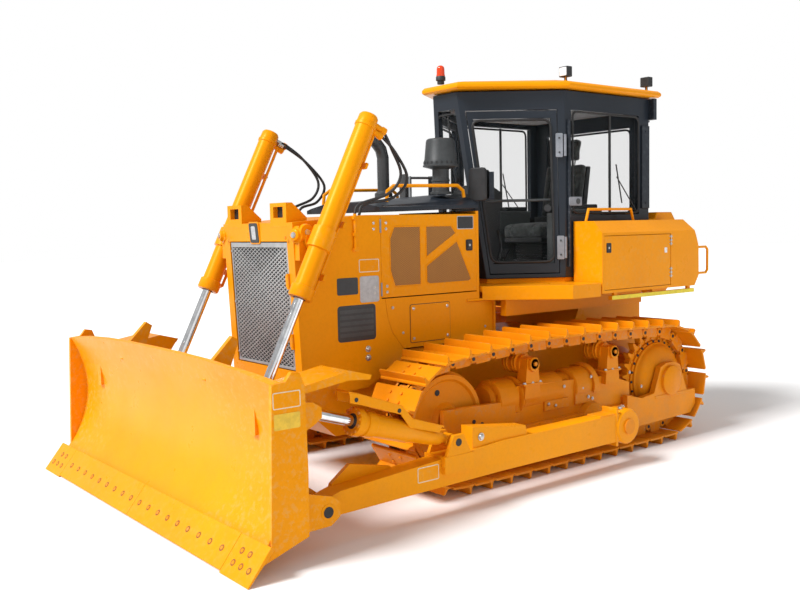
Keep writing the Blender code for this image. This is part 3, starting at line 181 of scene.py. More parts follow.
def painted(name, deep, light, wear, gloss=(0.26, 0.38), dust=0.12, coat=0.0):
    """Gloss machine paint: broad shifts of tone, dust low down, worn edges and a fine orange peel."""
    f = Finish(name, Coat_Weight=coat, Coat_Roughness=0.10, Specular_IOR_Level=0.24,
               Specular_Tint=(1.0, 0.66, 0.18, 1.0) if light[0] > 0.5 else (1.0, 1.0, 1.0, 1.0))
    tone = f.ramp(f.noise(1.1, 3), (0.30, deep), (0.72, light))
    specks = f.ramp(f.noise(38, 6, 0.7), (0.36, 0.955), (0.56, 1.0))
    tone = f.mix(1.0, tone, specks, "MULTIPLY")
    low = f.mix(1.0, f.height(0.15, 1.0), f.ramp(f.noise(7, 6, 0.65), (0.42, 0.0), (0.75, dust)),
        "MULTIPLY")
    tone = f.mix(low, tone, (0.40, 0.23, 0.09))
    worn = f.mix(1.0, f.edges(0.535, 0.62), f.ramp(f.noise(24, 5, 0.7), (0.50, 0.0), (0.66, 0.5)),
        "MULTIPLY")
    f.colour(f.mix(worn, tone, wear))
    f.rough(f.ramp(f.noise(5, 5, 0.6), (0.3, gloss[0]), (0.7, gloss[1])))
    f.bump(f.noise(150, 2), 0.06, 0.0015)
    return f.material


def plain(name, deep, light, gloss, scale=30, grain=0.10, size=0.001, **settings):
    """A moulded, cast or bare surface: two tones, uneven gloss and a fine grain."""
    f = Finish(name, **settings)
    tone = f.ramp(f.noise(scale * 0.12, 5, 0.65), (0.32, deep), (0.70, light))
    f.colour(f.mix(1.0, tone, f.ramp(f.noise(scale, 6, 0.7), (0.35, 0.80), (0.6, 1.0)), "MULTIPLY"))
    f.rough(f.ramp(f.noise(scale * 0.5, 5), (0.3, gloss[0]), (0.7, gloss[1])))
    f.bump(f.noise(scale * 9, 3), grain, size)
    return f.material


def perforated(name, sheet, hole_shade, pitch):
    """Painted sheet with staggered round holes, drawn across the machine's side."""
    f = Finish(name, Roughness=0.5)
    mapping = f.node("ShaderNodeMapping", Rotation=(math.radians(45), 0, 0),
        Scale=(0.001, 1 / pitch, 1 / pitch))
    f.link(f.where, mapping.inputs["Vector"])
    cells = f.node("ShaderNodeTexVoronoi", Scale=1.0, Randomness=0.0)
    f.link(mapping.outputs["Vector"], cells.inputs["Vector"])
    # The holes are drawn in a dark colour: painted shade seen through the sheet.
    holes = f.ramp(cells.outputs["Distance"], (0.28, 1.0), (0.36, 0.0))
    tone = f.ramp(f.noise(3, 4), (0.3, sheet), (0.7, [c * 1.15 for c in sheet]))
    f.colour(f.mix(holes, tone, hole_shade))
    f.bump(holes, -0.6, 0.003)
    return f.material


def woven(name, deep, light):
    f = Finish(name, Roughness=0.9, Sheen_Weight=0.3)
    waves = []
    for axis in ("X", "Y"):
        wave = f.node("ShaderNodeTexWave", Scale=140.0, bands_direction=axis, Distortion=1.5)
        f.link(f.where, wave.inputs["Vector"])
        waves.append(wave.outputs["Fac"])
    cloth = f.mix(0.5, waves[0], waves[1])
    tone = f.ramp(f.noise(26, 6, 0.75), (0.38, deep), (0.62, light))
    f.colour(f.mix(0.35, tone, f.mix(1.0, tone, cloth, "MULTIPLY")))
    f.bump(cloth, 0.35, 0.0012)
    return f.material


def clear(name, tint, alpha):
    f = Finish(name, Roughness=0.04, IOR=1.5, Alpha=alpha)
    f.colour(f.ramp(f.noise(1.5, 2), (0.3, tint), (0.7, [min(1, c * 1.1) for c in tint])))
    f.bump(f.noise(3, 1), 0.02, 0.001)
    return f.material


def make_finishes():
    yellow = ((0.80, 0.276, 0.002), (0.88, 0.322, 0.003))
    made = {
        "yellow": painted("machine_yellow", *yellow, (0.70, 0.36, 0.10)),
        "gear": painted("undercarriage_yellow", (0.70, 0.215, 0.003), (0.85, 0.285, 0.004),
            (0.50, 0.32, 0.16),
                        (0.32, 0.50), 0.35, 0.03),
        "slate": painted("slate_paint", (0.013, 0.018, 0.025), (0.020, 0.026, 0.036), (0.12, 0.13, 0.14),
                         (0.30, 0.42), 0.1, 0.10),
        "black": plain("black_plastic", (0.012, 0.013, 0.014), (0.024, 0.025, 0.027), (0.42, 0.60), 40),
        "charcoal": plain("charcoal_plastic", (0.034, 0.038, 0.040), (0.055, 0.060, 0.062), (0.34, 0.46),
            30),
        "rubber": plain("rubber", (0.008, 0.008, 0.009), (0.020, 0.020, 0.020), (0.48, 0.66), 60, 0.16),
        "steel": plain("zinc_steel", (0.50, 0.50, 0.48), (0.68, 0.68, 0.66), (0.26, 0.44), 50, 0.06,
            Metallic=0.85),
        "iron": plain("engine_iron", (0.10, 0.10, 0.10), (0.20, 0.19, 0.18), (0.45, 0.65), 24, 0.2,
            Metallic=0.4),
        "chrome": plain("polished_chrome", (0.80, 0.81, 0.83), (0.90, 0.91, 0.92), (0.05, 0.10), 14, 0.01,
                        Metallic=1.0),
        "grille": plain("grille_grey", (0.34, 0.35, 0.35), (0.48, 0.49, 0.49), (0.35, 0.50), 16, 0.08,
                        Metallic=0.3),
        "hinge": plain("hinge_grey", (0.22, 0.24, 0.27), (0.30, 0.32, 0.36), (0.30, 0.44), 26, 0.06),
        "liner": plain("headliner_grey", (0.20, 0.21, 0.22), (0.28, 0.29, 0.30), (0.7, 0.85), 60, 0.2),
        "recess": plain("shadowed_paint", (0.22, 0.085, 0.004), (0.27, 0.105, 0.006), (0.5, 0.6), 20,
            0.03),
        "console": plain("console_grey", (0.075, 0.085, 0.085), (0.12, 0.13, 0.13), (0.5, 0.65), 50,
            0.15),
        # The door mesh's second colour is painted shade in its holes.
        "mesh": perforated("door_mesh", (0.37, 0.150, 0.010), (0.15, 0.060, 0.008), 0.011),
        "strip": plain("bright_strip", (0.78, 0.62, 0.01), (0.86, 0.70, 0.02), (0.3, 0.45), 20, 0.03),
        "white": plain("white_reflector", (0.75, 0.76, 0.76), (0.88, 0.88, 0.88), (0.2, 0.35), 20, 0.03),
        "plate_dark": plain("plate_dark", (0.018, 0.019, 0.020), (0.030, 0.031, 0.033), (0.3, 0.45), 30,
            0.03),
        "plate_light": plain("plate_light", (0.42, 0.43, 0.44), (0.52, 0.53, 0.54), (0.3, 0.4), 30, 0.03),
        "outline": plain("label_outline", (0.74, 0.62, 0.42), (0.82, 0.72, 0.52), (0.4, 0.5), 30, 0.03),
        "label_gold": plain("label_gold", (0.78, 0.47, 0.02), (0.84, 0.54, 0.03), (0.35, 0.45), 20, 0.03),
        "beacon": plain("beacon_lens", (0.82, 0.055, 0.008), (0.92, 0.085, 0.012), (0.08, 0.16), 9, 0.02,
                        Transmission_Weight=0.25),
        "lens": plain("lamp_lens", (0.80, 0.82, 0.84), (0.92, 0.93, 0.94), (0.05, 0.12), 12, 0.02),
        "glass": clear("cab_glass", (0.012, 0.018, 0.018), 0.06),
        "mirror": plain("mirror_glass", (0.60, 0.62, 0.64), (0.68, 0.70, 0.72), (0.03, 0.06), 9, 0.01,
            Metallic=1.0),
        "cloth": woven("seat_cloth", (0.012, 0.014, 0.014), (0.075, 0.085, 0.080)),
    }
    return made


FINISHES = make_finishes()


# ---- Building --------------------------------------------------------------------------------------

def settle(bm, name, body, finish, stands_for=(), bevel=0.0, segments=2, angle=35, shift=True,
    clamp=False):
    """Turns a bmesh into a piece of one finish that rides on a body."""
    if shift:
        bmesh.ops.translate(bm, verts=bm.verts, vec=(0, MID_Y, 0))
    bmesh.ops.recalc_face_normals(bm, faces=bm.faces)
    for face in bm.faces:
        face.smooth = True
    for edge in bm.edges:
        edge.smooth = edge.calc_face_angle(math.pi) < math.radians(angle)
    mesh = bpy.data.meshes.new(name)
    bm.to_mesh(mesh)
    bm.free()
    obj = bpy.data.objects.new(name, mesh)
    bpy.context.scene.collection.objects.link(obj)
    mesh.materials.append(FINISHES[finish])
    if bevel:
        made = obj.modifiers.new("edges", "BEVEL")
        made.width, made.segments, made.limit_method = bevel, segments, "ANGLE"
        made.angle_limit = math.radians(angle)
        made.harden_normals, made.use_clamp_overlap = not clamp, clamp
    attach(obj, body)
    if stands_for:
        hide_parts(*stands_for)
    return obj


def refine(node, finish, bevel=0.004, segments=2, angle=32):
    """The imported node's own shape with its edges rounded."""
    bm = bmesh.new()
    bm.from_mesh(NODES[node].data)
    bmesh.ops.remove_doubles(bm, verts=bm.verts, dist=3e-5)
    return settle(bm, node + "_body", NODES[node]["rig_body"], finish, (node,), bevel, segments, angle,
        False, True)


KITS = {}


def kit(body, finish, bevel=0.0):
    """The bmesh that gathers all small pieces of one finish on one body."""
    return KITS.setdefault((body, finish, bevel), bmesh.new())


def frame_of(axis):
    axis = Vector(axis).normalized()
    side = axis.orthogonal().normalized()
    return axis, side, axis.cross(side)


def skin(bm, rings, closed=False):
    loops = [[bm.verts.new(p) for p in ring] for ring in rings]
    pairs = list(zip(loops, loops[1:])) + ([(loops[-1], loops[0])] if closed else [])
    for low, high in pairs:
        for i in range(len(low)):
            j = (i + 1) % len(low)
            bm.faces.new((low[i], low[j], high[j], high[i]))
    if not closed:
        bm.faces.new(loops[0][::-1])
        bm.faces.new(loops[-1])


def turned(bm, centre, axis, profile, segments=24, start=0.0):
    """A solid turned about an axis, from (distance along it, radius) pairs."""
    axis, side, other = frame_of(axis)
    rings = []
    for along, radius in profile:
        spot = Vector(centre) + axis * along
        rings.append([spot + (side * math.cos(a) + other * math.sin(a)) * radius
                      for a in (2 * math.pi * i / segments + start for i in range(segments))])
    skin(bm, rings)


def prism(bm, axis, low, high, outline):
    place = {"x": lambda a, b, t: (t, a, b), "y": lambda a, b, t: (a, t, b), "z": lambda a, b,
        t: (a, b, t)}[axis]
    skin(bm, [[Vector(place(a, b, t)) for a, b in outline] for t in (low, high)])


def block(bm, x, y, z):
    prism(bm, "z", z[0], z[1], [(x[0], y[0]), (x[1], y[0]), (x[1], y[1]), (x[0], y[1])])


def slab(bm, centre, across, up, width, height, thick, corner=0.0):
    """A plate with rounded corners, grown from its face along across x up."""
    across, up = Vector(across).normalized(), Vector(up).normalized()
    out = across.cross(up).normalized()
    points = []
    if corner:
        for sx, sy, begin in ((1, 1, 0), (-1, 1, 90), (-1, -1, 180), (1, -1, 270)):
            for step in (0, 30, 60, 90):
                turn = math.radians(begin + step)
                points.append((sx * (width / 2 - corner) + corner * math.cos(turn),
                               sy * (height / 2 - corner) + corner * math.sin(turn)))
    else:
        points = [(width / 2, height / 2), (-width / 2, height / 2), (-width / 2, -height / 2),
                  (width / 2, -height / 2)]
    centre = Vector(centre)
    skin(bm, [[centre + across * a + up * b + out * t for a, b in points] for t in (0, thick)])


def smooth_path(points, steps=6):
    """A curve through the points, as closely spaced points."""
    points = [Vector(p) for p in points]
    ends = [points[0] * 2 - points[1]] + points + [points[-1] * 2 - points[-2]]
    path = []
    for a, b, c, d in zip(ends, ends[1:], ends[2:], ends[3:]):
        for i in range(steps):
            t = i / steps
            path.append(0.5 * ((2 * b) + (c - a) * t + (2 * a - 5 * b + 4 * c - d) * t * t
                               + (3 * b - a - 3 * c + d) * t ** 3))
    return path + [points[-1]]


def tube(bm, points, radius, segments=10, smooth=0):
    points = smooth_path(points, smooth) if smooth else [Vector(p) for p in points]
    rings, side = [], None
    for i, point in enumerate(points):
        way = (points[min(i + 1, len(points) - 1)] - points[max(i - 1, 0)]).normalized()
        side = way.orthogonal().normalized() if side is None else (side - way * side.dot(way)).normalized()
        other = way.cross(side)
        turns = [2 * math.pi * k / segments for k in range(segments)]
        rings.append([point + (side * math.cos(a) + other * math.sin(a)) * radius for a in turns])
    skin(bm, rings)


def bolt(body, point, normal, radius=0.011, finish="steel"):
    """A hexagon bolt head on its washer."""
    bm = kit(body, finish)
    turned(bm, point, normal, [(0, radius * 1.45), (radius * 0.25, radius * 1.45)], 16)
    turned(bm, point, normal, [(0, radius * 1.05), (radius * 0.85, radius * 1.05),
        (radius * 0.98, radius * 0.86)], 6)


def button(body, point, normal, radius=0.014, finish="steel"):
    """A round-headed bolt."""
    turned(kit(body, finish), point, normal,
           [(0, radius * 1.25), (radius * 0.2, radius * 1.25), (radius * 0.22, radius),
               (radius * 0.6, radius * 0.8),
            (radius * 0.78, radius * 0.4)], 16)


def label(body, centre, across, up, width, height, finish, border=None):
    """A blank plate or sticker, with a border where it has one."""
    out = Vector(across).cross(Vector(up)).normalized()
    slab(kit(body, border or finish), centre, across, up, width, height, 0.0012,
        min(width, height) * 0.10)
    if border:
        slab(kit(body, finish), Vector(centre) + out * 0.0008, across, up, width - 0.012, height - 0.012,
            0.0010,
             min(width, height) * 0.07)


# ---- Undercarriage ---------------------------------------------------------------------------------

def pin_line():
    """The chain's pins in order, as (y, z) points."""
    drop, carrier = 0.045, 0.075
    wheels = [(Vector((SPROCKET_Y, TIP + SPROCKET_R)), SPROCKET_R),
        (Vector((IDLER_Y, TIP + IDLER_R)), IDLER_R)]
    wheels += [(Vector((y, 0.985 - drop - carrier)), drop + carrier) for y in CARRIER_YS]
    normals = []
    for (a, ra), (b, rb) in zip(wheels, wheels[1:] + wheels[:1]):
        span = b - a
        normals.append(math.atan2(span.y, span.x) + math.acos((ra - rb) / span.length))
    runs = []
    for i, (centre, radius) in enumerate(wheels):
        sweep = (normals[i - 1] - normals[i]) % (2 * math.pi)
        runs.append((radius * sweep, centre, radius, normals[i - 1], None))
        ahead, next_radius = wheels[(i + 1) % len(wheels)]
        out = Vector((math.cos(normals[i]), math.sin(normals[i])))
        start, end = centre + out * radius, ahead + out * next_radius
        runs.append(((end - start).length, start, 0, 0, (end - start).normalized()))
    total = sum(run[0] for run in runs)
    pins = []
    for i in range(SHOES):
        far = total * i / SHOES
        for length, spot, radius, angle, heading in runs:
            if far > length:
                far -= length
                continue
            if heading is None:
                turn = angle - far / radius
                pins.append(spot + Vector((math.cos(turn), math.sin(turn))) * radius)
            else:
                pins.append(spot + heading * far)
            break
    return pins


def build_tracks():
    pins = pin_line()
    for side, name in SIDES:
        shoes, links, bolts, bore_shade_discs = (bmesh.new() for _ in range(4))
        x0 = side * TRACK_X
        for i, pin in enumerate(pins):
            chord = pins[(i + 1) % SHOES] - pin
            along = chord.normalized()
            out = Vector((-along.y, along.x))
            long = chord.length

            def spot(share, height, x, pin=pin, along=along, out=out, long=long):
                flat = pin + along * (long * share) + out * height
                return Vector((x0 + x, flat.x, flat.y))

            shoe = [(0.02, 0.052), (0.00, 0.058), (0.035, 0.069), (0.085, 0.072), (0.115, TIP - 0.006),
                    (0.125, TIP), (0.175, TIP), (0.190, TIP - 0.006), (0.235, 0.073), (0.93, 0.073),
                    (0.985, 0.060), (0.97, 0.048), (0.90, 0.056), (0.25, 0.056)]
            rings = []
            for x, trim in ((-SHOE_HALF, 0.012), (-SHOE_HALF + 0.012, 0), (SHOE_HALF - 0.012, 0),
                (SHOE_HALF, 0.012)):
                rings.append([spot(s, min(h, TIP - trim), x) for s, h in shoe])
            skin(shoes, rings)
            for s in (0.42, 0.74):
                for x in (-0.062, 0.062):
                    turned(bolts, spot(s, 0.073, x), (0, *out),
                        [(0, 0.0125), (0.009, 0.0125), (0.011, 0.010)], 6)
            for sign in (-1, 1):
                low, high = sorted((sign * 0.050, sign * 0.070))
                body = []
                for begin, centre in ((90, 1.0), (-90, 0.0)):
                    for step in range(0, 181, 30):
                        turn = math.radians(begin - step)
                        body.append((centre * long + 0.038 * math.cos(turn),
                            0.004 + 0.040 * math.sin(turn)))
                shape = [(share / long, h) for share, h in body]
                shape = [(s, min(h, 0.052)) for s, h in shape]
                skin(links, [[spot(s, h, x) for s, h in shape] for x in (low, high)])
                skin(links, [[spot(s, h, x) for s, h in ((0.16, -0.045), (0.84, -0.045), (0.88, -0.02),
                    (0.80, 0.056),
                                                         (0.20, 0.056), (0.12, -0.02))]
                             for x in sorted((sign * 0.040, sign * 0.084))])
                turned(links, spot(0, 0.0, sign * 0.066), (sign, 0, 0),
                    [(0, 0.034), (0.020, 0.034), (0.024, 0.029)], 16)
                # A near-black disc on each pin end: painted shade standing for the dark hole of the pin
                # bore.
                turned(bore_shade_discs, spot(0, 0.0, sign * 0.089), (sign, 0, 0), [(0, 0.015), (0.004, 0.015)], 12)
            turned(links, spot(0, 0, -0.05), (1, 0, 0), [(0, 0.028), (0.10, 0.028)], 14)
        settle(shoes, f"track_shoes_{name}", "root", "gear", (f"track_{name}",), 0.0022, 1)
        settle(links, f"track_links_{name}", "root", "gear")
        settle(bolts, f"track_bolts_{name}", "root", "gear")
        settle(bore_shade_discs, f"track_bore_shade_{name}", "root", "rubber")


def build_wheels():
    for side, name in SIDES:
        axis = (side, 0, 0)
        idler = bmesh.new()
        half = [(0.10, 0.085), (0.10, 0.10), (0.082, 0.115), (0.062, 0.13), (0.062, 0.25), (0.070, 0.285),
                (0.088, 0.30), (0.088, 0.335), (0.040, 0.338), (0.032, 0.357)]
        profile = [(-a, r) for a, r in half] + [(a, r) for a, r in half[::-1]]
        turned(idler, (side * TRACK_X, IDLER_Y, TIP + IDLER_R), axis, profile, 56)
        settle(idler, f"idler_wheel_{name}", "root", "gear", (f"idler_{name}",), 0.003)
        centre = Vector((side * TRACK_X, SPROCKET_Y, TIP + SPROCKET_R))
        rim, step = bmesh.new(), 2 * math.pi / 25
        outline = []
        for i in range(25):
            for share, radius in ((-0.36, -0.042), (-0.27, -0.046), (-0.17, -0.020), (-0.09, 0.008),
                (0.0, 0.012),
                                  (0.09, 0.008), (0.17, -0.020), (0.27, -0.046)):
                turn, r = (i + share) * step, SPROCKET_R + radius
                outline.append((centre.y + r * math.cos(turn), centre.z + r * math.sin(turn)))
        prism(rim, "x", *sorted((centre.x - 0.030, centre.x + 0.030)), outline)
        hub = [(-0.09, 0.20), (-0.05, 0.27), (0.034, 0.335), (0.046, 0.335), (0.050, 0.318),
            (0.066, 0.318),
               (0.072, 0.305)]
        hub += [(0.072 + 0.088 * math.sin(math.radians(a)), 0.06 + 0.240 * math.cos(math.radians(a)))
                for a in range(8, 91, 9)]
        turned(rim, centre, axis, hub, 64)
        settle(rim, f"sprocket_wheel_{name}", "root", "gear", (f"sprocket_{name}",), 0.003)
        for i in range(25):
            turn = (i + 0.5) * step
            spoke = Vector((0, math.cos(turn), math.sin(turn)))
            turned(kit("root", "rubber"), centre + Vector((side * 0.046, 0, 0)) + spoke * 0.329, axis,
                   [(0, 0.012), (0.006, 0.012), (0.010, 0.008)], 8)
            turned(kit("root", "gear"), centre + Vector((side * 0.030, 0, 0)) + spoke * 0.353, axis,
                   [(0, 0.013), (0.010, 0.013)], 6)


def build_track_frames():
    for side, name in SIDES:
        out = Vector((side, 0, 0))
        refine(f"track_frame_{name}", "gear", 0.006, 3)
        gear = kit("root", "gear", 0.004)
        x0 = side * TRACK_X

        def span(a, b, side=side):
            return sorted((side * a, side * b))

        for y in CARRIER_YS:
            flange_z = 0.70
            block(gear, span(1.005, 1.135), (y - 0.105, y + 0.105), (flange_z, flange_z + 0.016))
            for dy in (-0.085, 0.0, 0.085):
                bolt("root", (side * 1.118, y + dy, flange_z + 0.016), (0, 0, 1), 0.012)
            for rim in (0.030, 0.058, 0.115, 0.145):
                turned(gear, (x0 + side * 0.10 - side * rim, y, CARRIER_Z), (side, 0, 0),
                       [(-0.006, 0.078), (-0.003, 0.088), (0.003, 0.088), (0.006, 0.078)], 32)
            turned(gear, (side * 1.092, y, CARRIER_Z), out, [(0, 0.052), (0.050, 0.052), (0.058, 0.044)],
                24)
            turned(kit("root", "gear"), (side * 1.1495, y, CARRIER_Z), out, [(0, 0.018), (0.012, 0.018)],
                6)
        for low, high, radius in ((-0.83, -0.62, 0.150), (-0.60, -0.565, 0.158), (-0.565, -0.10, 0.142),
                                  (0.02, 0.30, 0.150)):
            turned(gear, (x0 + side * 0.02, low, 0.605), (0, 1, 0),
                   [(0, radius - 0.02), (0.012, radius), (high - low - 0.012, radius),
                       (high - low, radius - 0.02)], 40)
        arch = [(0.02 + math.cos(math.radians(a)) * 0.172, 0.605 + math.sin(math.radians(a)) * 0.172)
                for a in range(-20, 201, 11)]
        inner = [(0.02 + math.cos(math.radians(a)) * 0.151, 0.605 + math.sin(math.radians(a)) * 0.151)
                 for a in range(200, -21, -11)]
        prism(gear, "y", 0.215, 0.275, [(x0 + side * a, z) for a, z in arch + inner])
        for y, z in ((-0.30, 0.52), (-0.22, 0.50), (0.10, 0.60), (0.17, 0.52), (0.22, 0.50),
            (-0.12, 0.64),
                     (0.205, 0.68), (0.70, 0.66), (0.86, 0.52)):
            button("root", (side * 1.103, y, z), out, 0.011)
        for low, high, z0, z1 in ((-0.80, -0.62, 0.43, 0.50), (-0.34, -0.06, 0.47, 0.545),
            (0.02, 0.26, 0.47, 0.56)):
            block(gear, span(1.06, 1.098), (low, high), (z0, z1))
        beam = kit("root", "gear", 0.006)
        block(beam, span(1.100, 1.160), (0.98, 1.56), (0.395, 0.425))
        for y, z in ((0.72, 0.27), (0.72, 0.22), (1.20, 0.62)):
            bolt("root", (side * 1.156, y, z), out, 0.012)
        for y, z in ((-1.10, 0.50), (-1.02, 0.47)):
            turned(kit("root", "rubber"), (side * 1.106, y, z), out, [(0, 0.016), (0.004, 0.016)], 14)
        turned(kit("root", "rubber"), (x0 + side * 0.0625, -1.36, 0.733), out,
            [(0, 0.022), (0.003, 0.022)], 18)
        for i in range(6):
            y = -0.79 + i * 1.43 / 5
            turned(gear, (x0 - side * 0.098, y, 0.272), out,
                   [(0, 0.104), (0.02, 0.108), (0.024, 0.098), (0.172, 0.098), (0.176, 0.108),
                       (0.196, 0.104)], 36)


# ---- Engine enclosure ------------------------------------------------------------------------------

def guard_face(z):
    return -2.20 - 0.042 * (z - 0.914) / 0.928 + 0.021


def build_enclosure():
    refine("radiator_guard", "yellow", 0.004)
    refine("hood_frame", "yellow", 0.003)
    refine("hood_cover", "slate", 0.006, 3)
    refine("main_frame", "yellow", 0.006)
    refine("engine_block", "iron", 0.010, 3)
    refine("radiator_core", "black", 0.004)
    for side, name in SIDES:
        refine(f"hood_rail_{name}", "yellow", 0.0)
        block(kit("root", "rubber"), sorted((side * 0.256, side * 0.384)), (-2.190, -2.184),
            (2.011, 2.086))
        cap, way = Vector((side * 0.530, -2.200, 1.885)), Vector((side * 0.30, -0.95, 0.05)).normalized()
        turned(kit("root", "yellow", 0.002), cap, way, [(0, 0.058), (0.016, 0.058), (0.020, 0.046),
            (0.040, 0.040),
                                                       (0.046, 0.030)], 32)
        turned(kit("root", "steel"), cap + way * 0.046, way, [(0, 0.022), (0.006, 0.020)], 16)
        face, out = side * DOOR_SIDE, Vector((side, 0, 0))
        across, up = Vector((0, side, 0)), Vector((0, 0, 1))
        door = f"engine_door_{name}"
        refine(door, "yellow", 0.003)
        tall = [(-1.365, 1.60), (-1.365, 1.84), (-1.325, 1.925), (-1.08, 1.925), (-1.08, 1.485),
            (-1.325, 1.485)]
        upper = [(-1.01, 1.925), (-0.76, 1.925), (-0.715, 1.87), (-1.01, 1.70)]
        lower = [(-1.01, 1.62), (-0.70, 1.80), (-0.555, 1.50), (-0.58, 1.485), (-0.985, 1.485),
            (-1.01, 1.50)]
        for outline in (tall, upper, lower):
            prism(kit(door, "mesh"), "x", *sorted((face - side * 0.004, face + side * 0.0012)), outline)
            middle = Vector((sum(y for y, _ in outline), sum(z for _, z in outline))) / len(outline)
            rim = []
            for y, z in outline:
                away = (Vector((y, z)) - middle).normalized() * 0.010
                rim.append((y + away.x, z + away.y))
            tube(kit(door, "yellow"), [(face, y, z) for y, z in rim + rim[:1]], 0.0045, 6)
        slab(kit(door, "rubber"), (face, -0.567, 1.771), across, up, 0.068, 0.090, 0.006, 0.012)
        slab(kit(door, "black"), (face + side * 0.004, -0.567, 1.771), across, up, 0.046, 0.062, 0.006,
            0.010)
        turned(kit(door, "steel"), (face + side * 0.008, -0.567, 1.771), out,
            [(0, 0.010), (0.004, 0.010)], 12)
        for z in (1.938, 1.464):
            tube(kit("root", "hinge"), [(face + side * 0.006, -1.462, z - 0.05),
                (face + side * 0.006, -1.462, z + 0.05)],
                 0.007, 10)
            for y in (-1.42,):
                slab(kit(door, "yellow", 0.001), (face, y, z), across, up, 0.07, 0.085, 0.004, 0.008)
                for dz in (-0.022, 0.022):
                    button(door, (face + side * 0.004, y + 0.012, z + dz), out, 0.009)
            for dz in (-0.022, 0.022):
                button("root", (side * GUARD_SIDE, -1.525, z + dz), out, 0.009)
        label(door, (face, -0.605, 1.952), across, up, 0.175, 0.105, "plate_dark", "plate_light")
        tube(kit("root", "yellow"), [(side * 0.516, -1.70, 2.03), (side * 0.516, -1.70, 1.76)], 0.012, 10)
        for z in (2.00, 1.88, 1.77):
            block(kit("root", "yellow", 0.002), sorted((side * 0.503, side * 0.530)), (-1.72, -1.68),
                (z - 0.012, z + 0.012))
        panel = kit("root", "yellow", 0.0015)
        slab(kit("root", "recess"), (face, -0.987, 1.183), across, up, 0.412, 0.300, 0.001, 0.018)
        slab(panel, (face, -0.987, 1.183), across, up, 0.40, 0.288, 0.006, 0.014)
        for y in (-1.158, -0.816):
            for z in (1.067, 1.299):
                button("root", (face + side * 0.006, y, z), out, 0.010)
        for y, z in ((-1.36, 1.32), (-1.26, 1.12), (-0.40, 1.36), (-0.40, 1.10)):
            button("root", (face + side * (0.005 if y < -1.3 else 0), y, z), out, 0.009)
        tube(kit("root", "yellow"), [(face + side * 0.004, -0.60, 1.322),
            (face + side * 0.010, -0.44, 1.322),
                                     (face + side * 0.010, -0.325, 1.318),
                                     (face + side * 0.008, -0.304, 1.29),
                                     (face + side * 0.006, -0.302, 1.05)], 0.012, 8, 4)
        for y, z in ((-1.60, 1.03), (-1.60, 0.965)):
            button("root", (side * GUARD_SIDE, y, z), out, 0.020)
        for y, z, width, height, finish, border in ((-1.574, 1.648, 0.184, 0.096, "yellow", "outline"),
                                                    (-1.574, 1.474, 0.175, 0.193, "plate_light", None),
                                                    (-1.772, 1.504, 0.186, 0.124, "plate_dark", None),
                                                    (-1.695, 1.231, 0.343, 0.265, "plate_dark", None)):
            label("root", (side * 0.5055, y, z), across, up, width, height, finish, border)
        for row in range(5):
            slab(kit("root", "charcoal"), (side * 0.5068, -1.695, 1.146 + row * 0.043), across, up, 0.303,
                 0.026, 0.0006)
    build_grille()


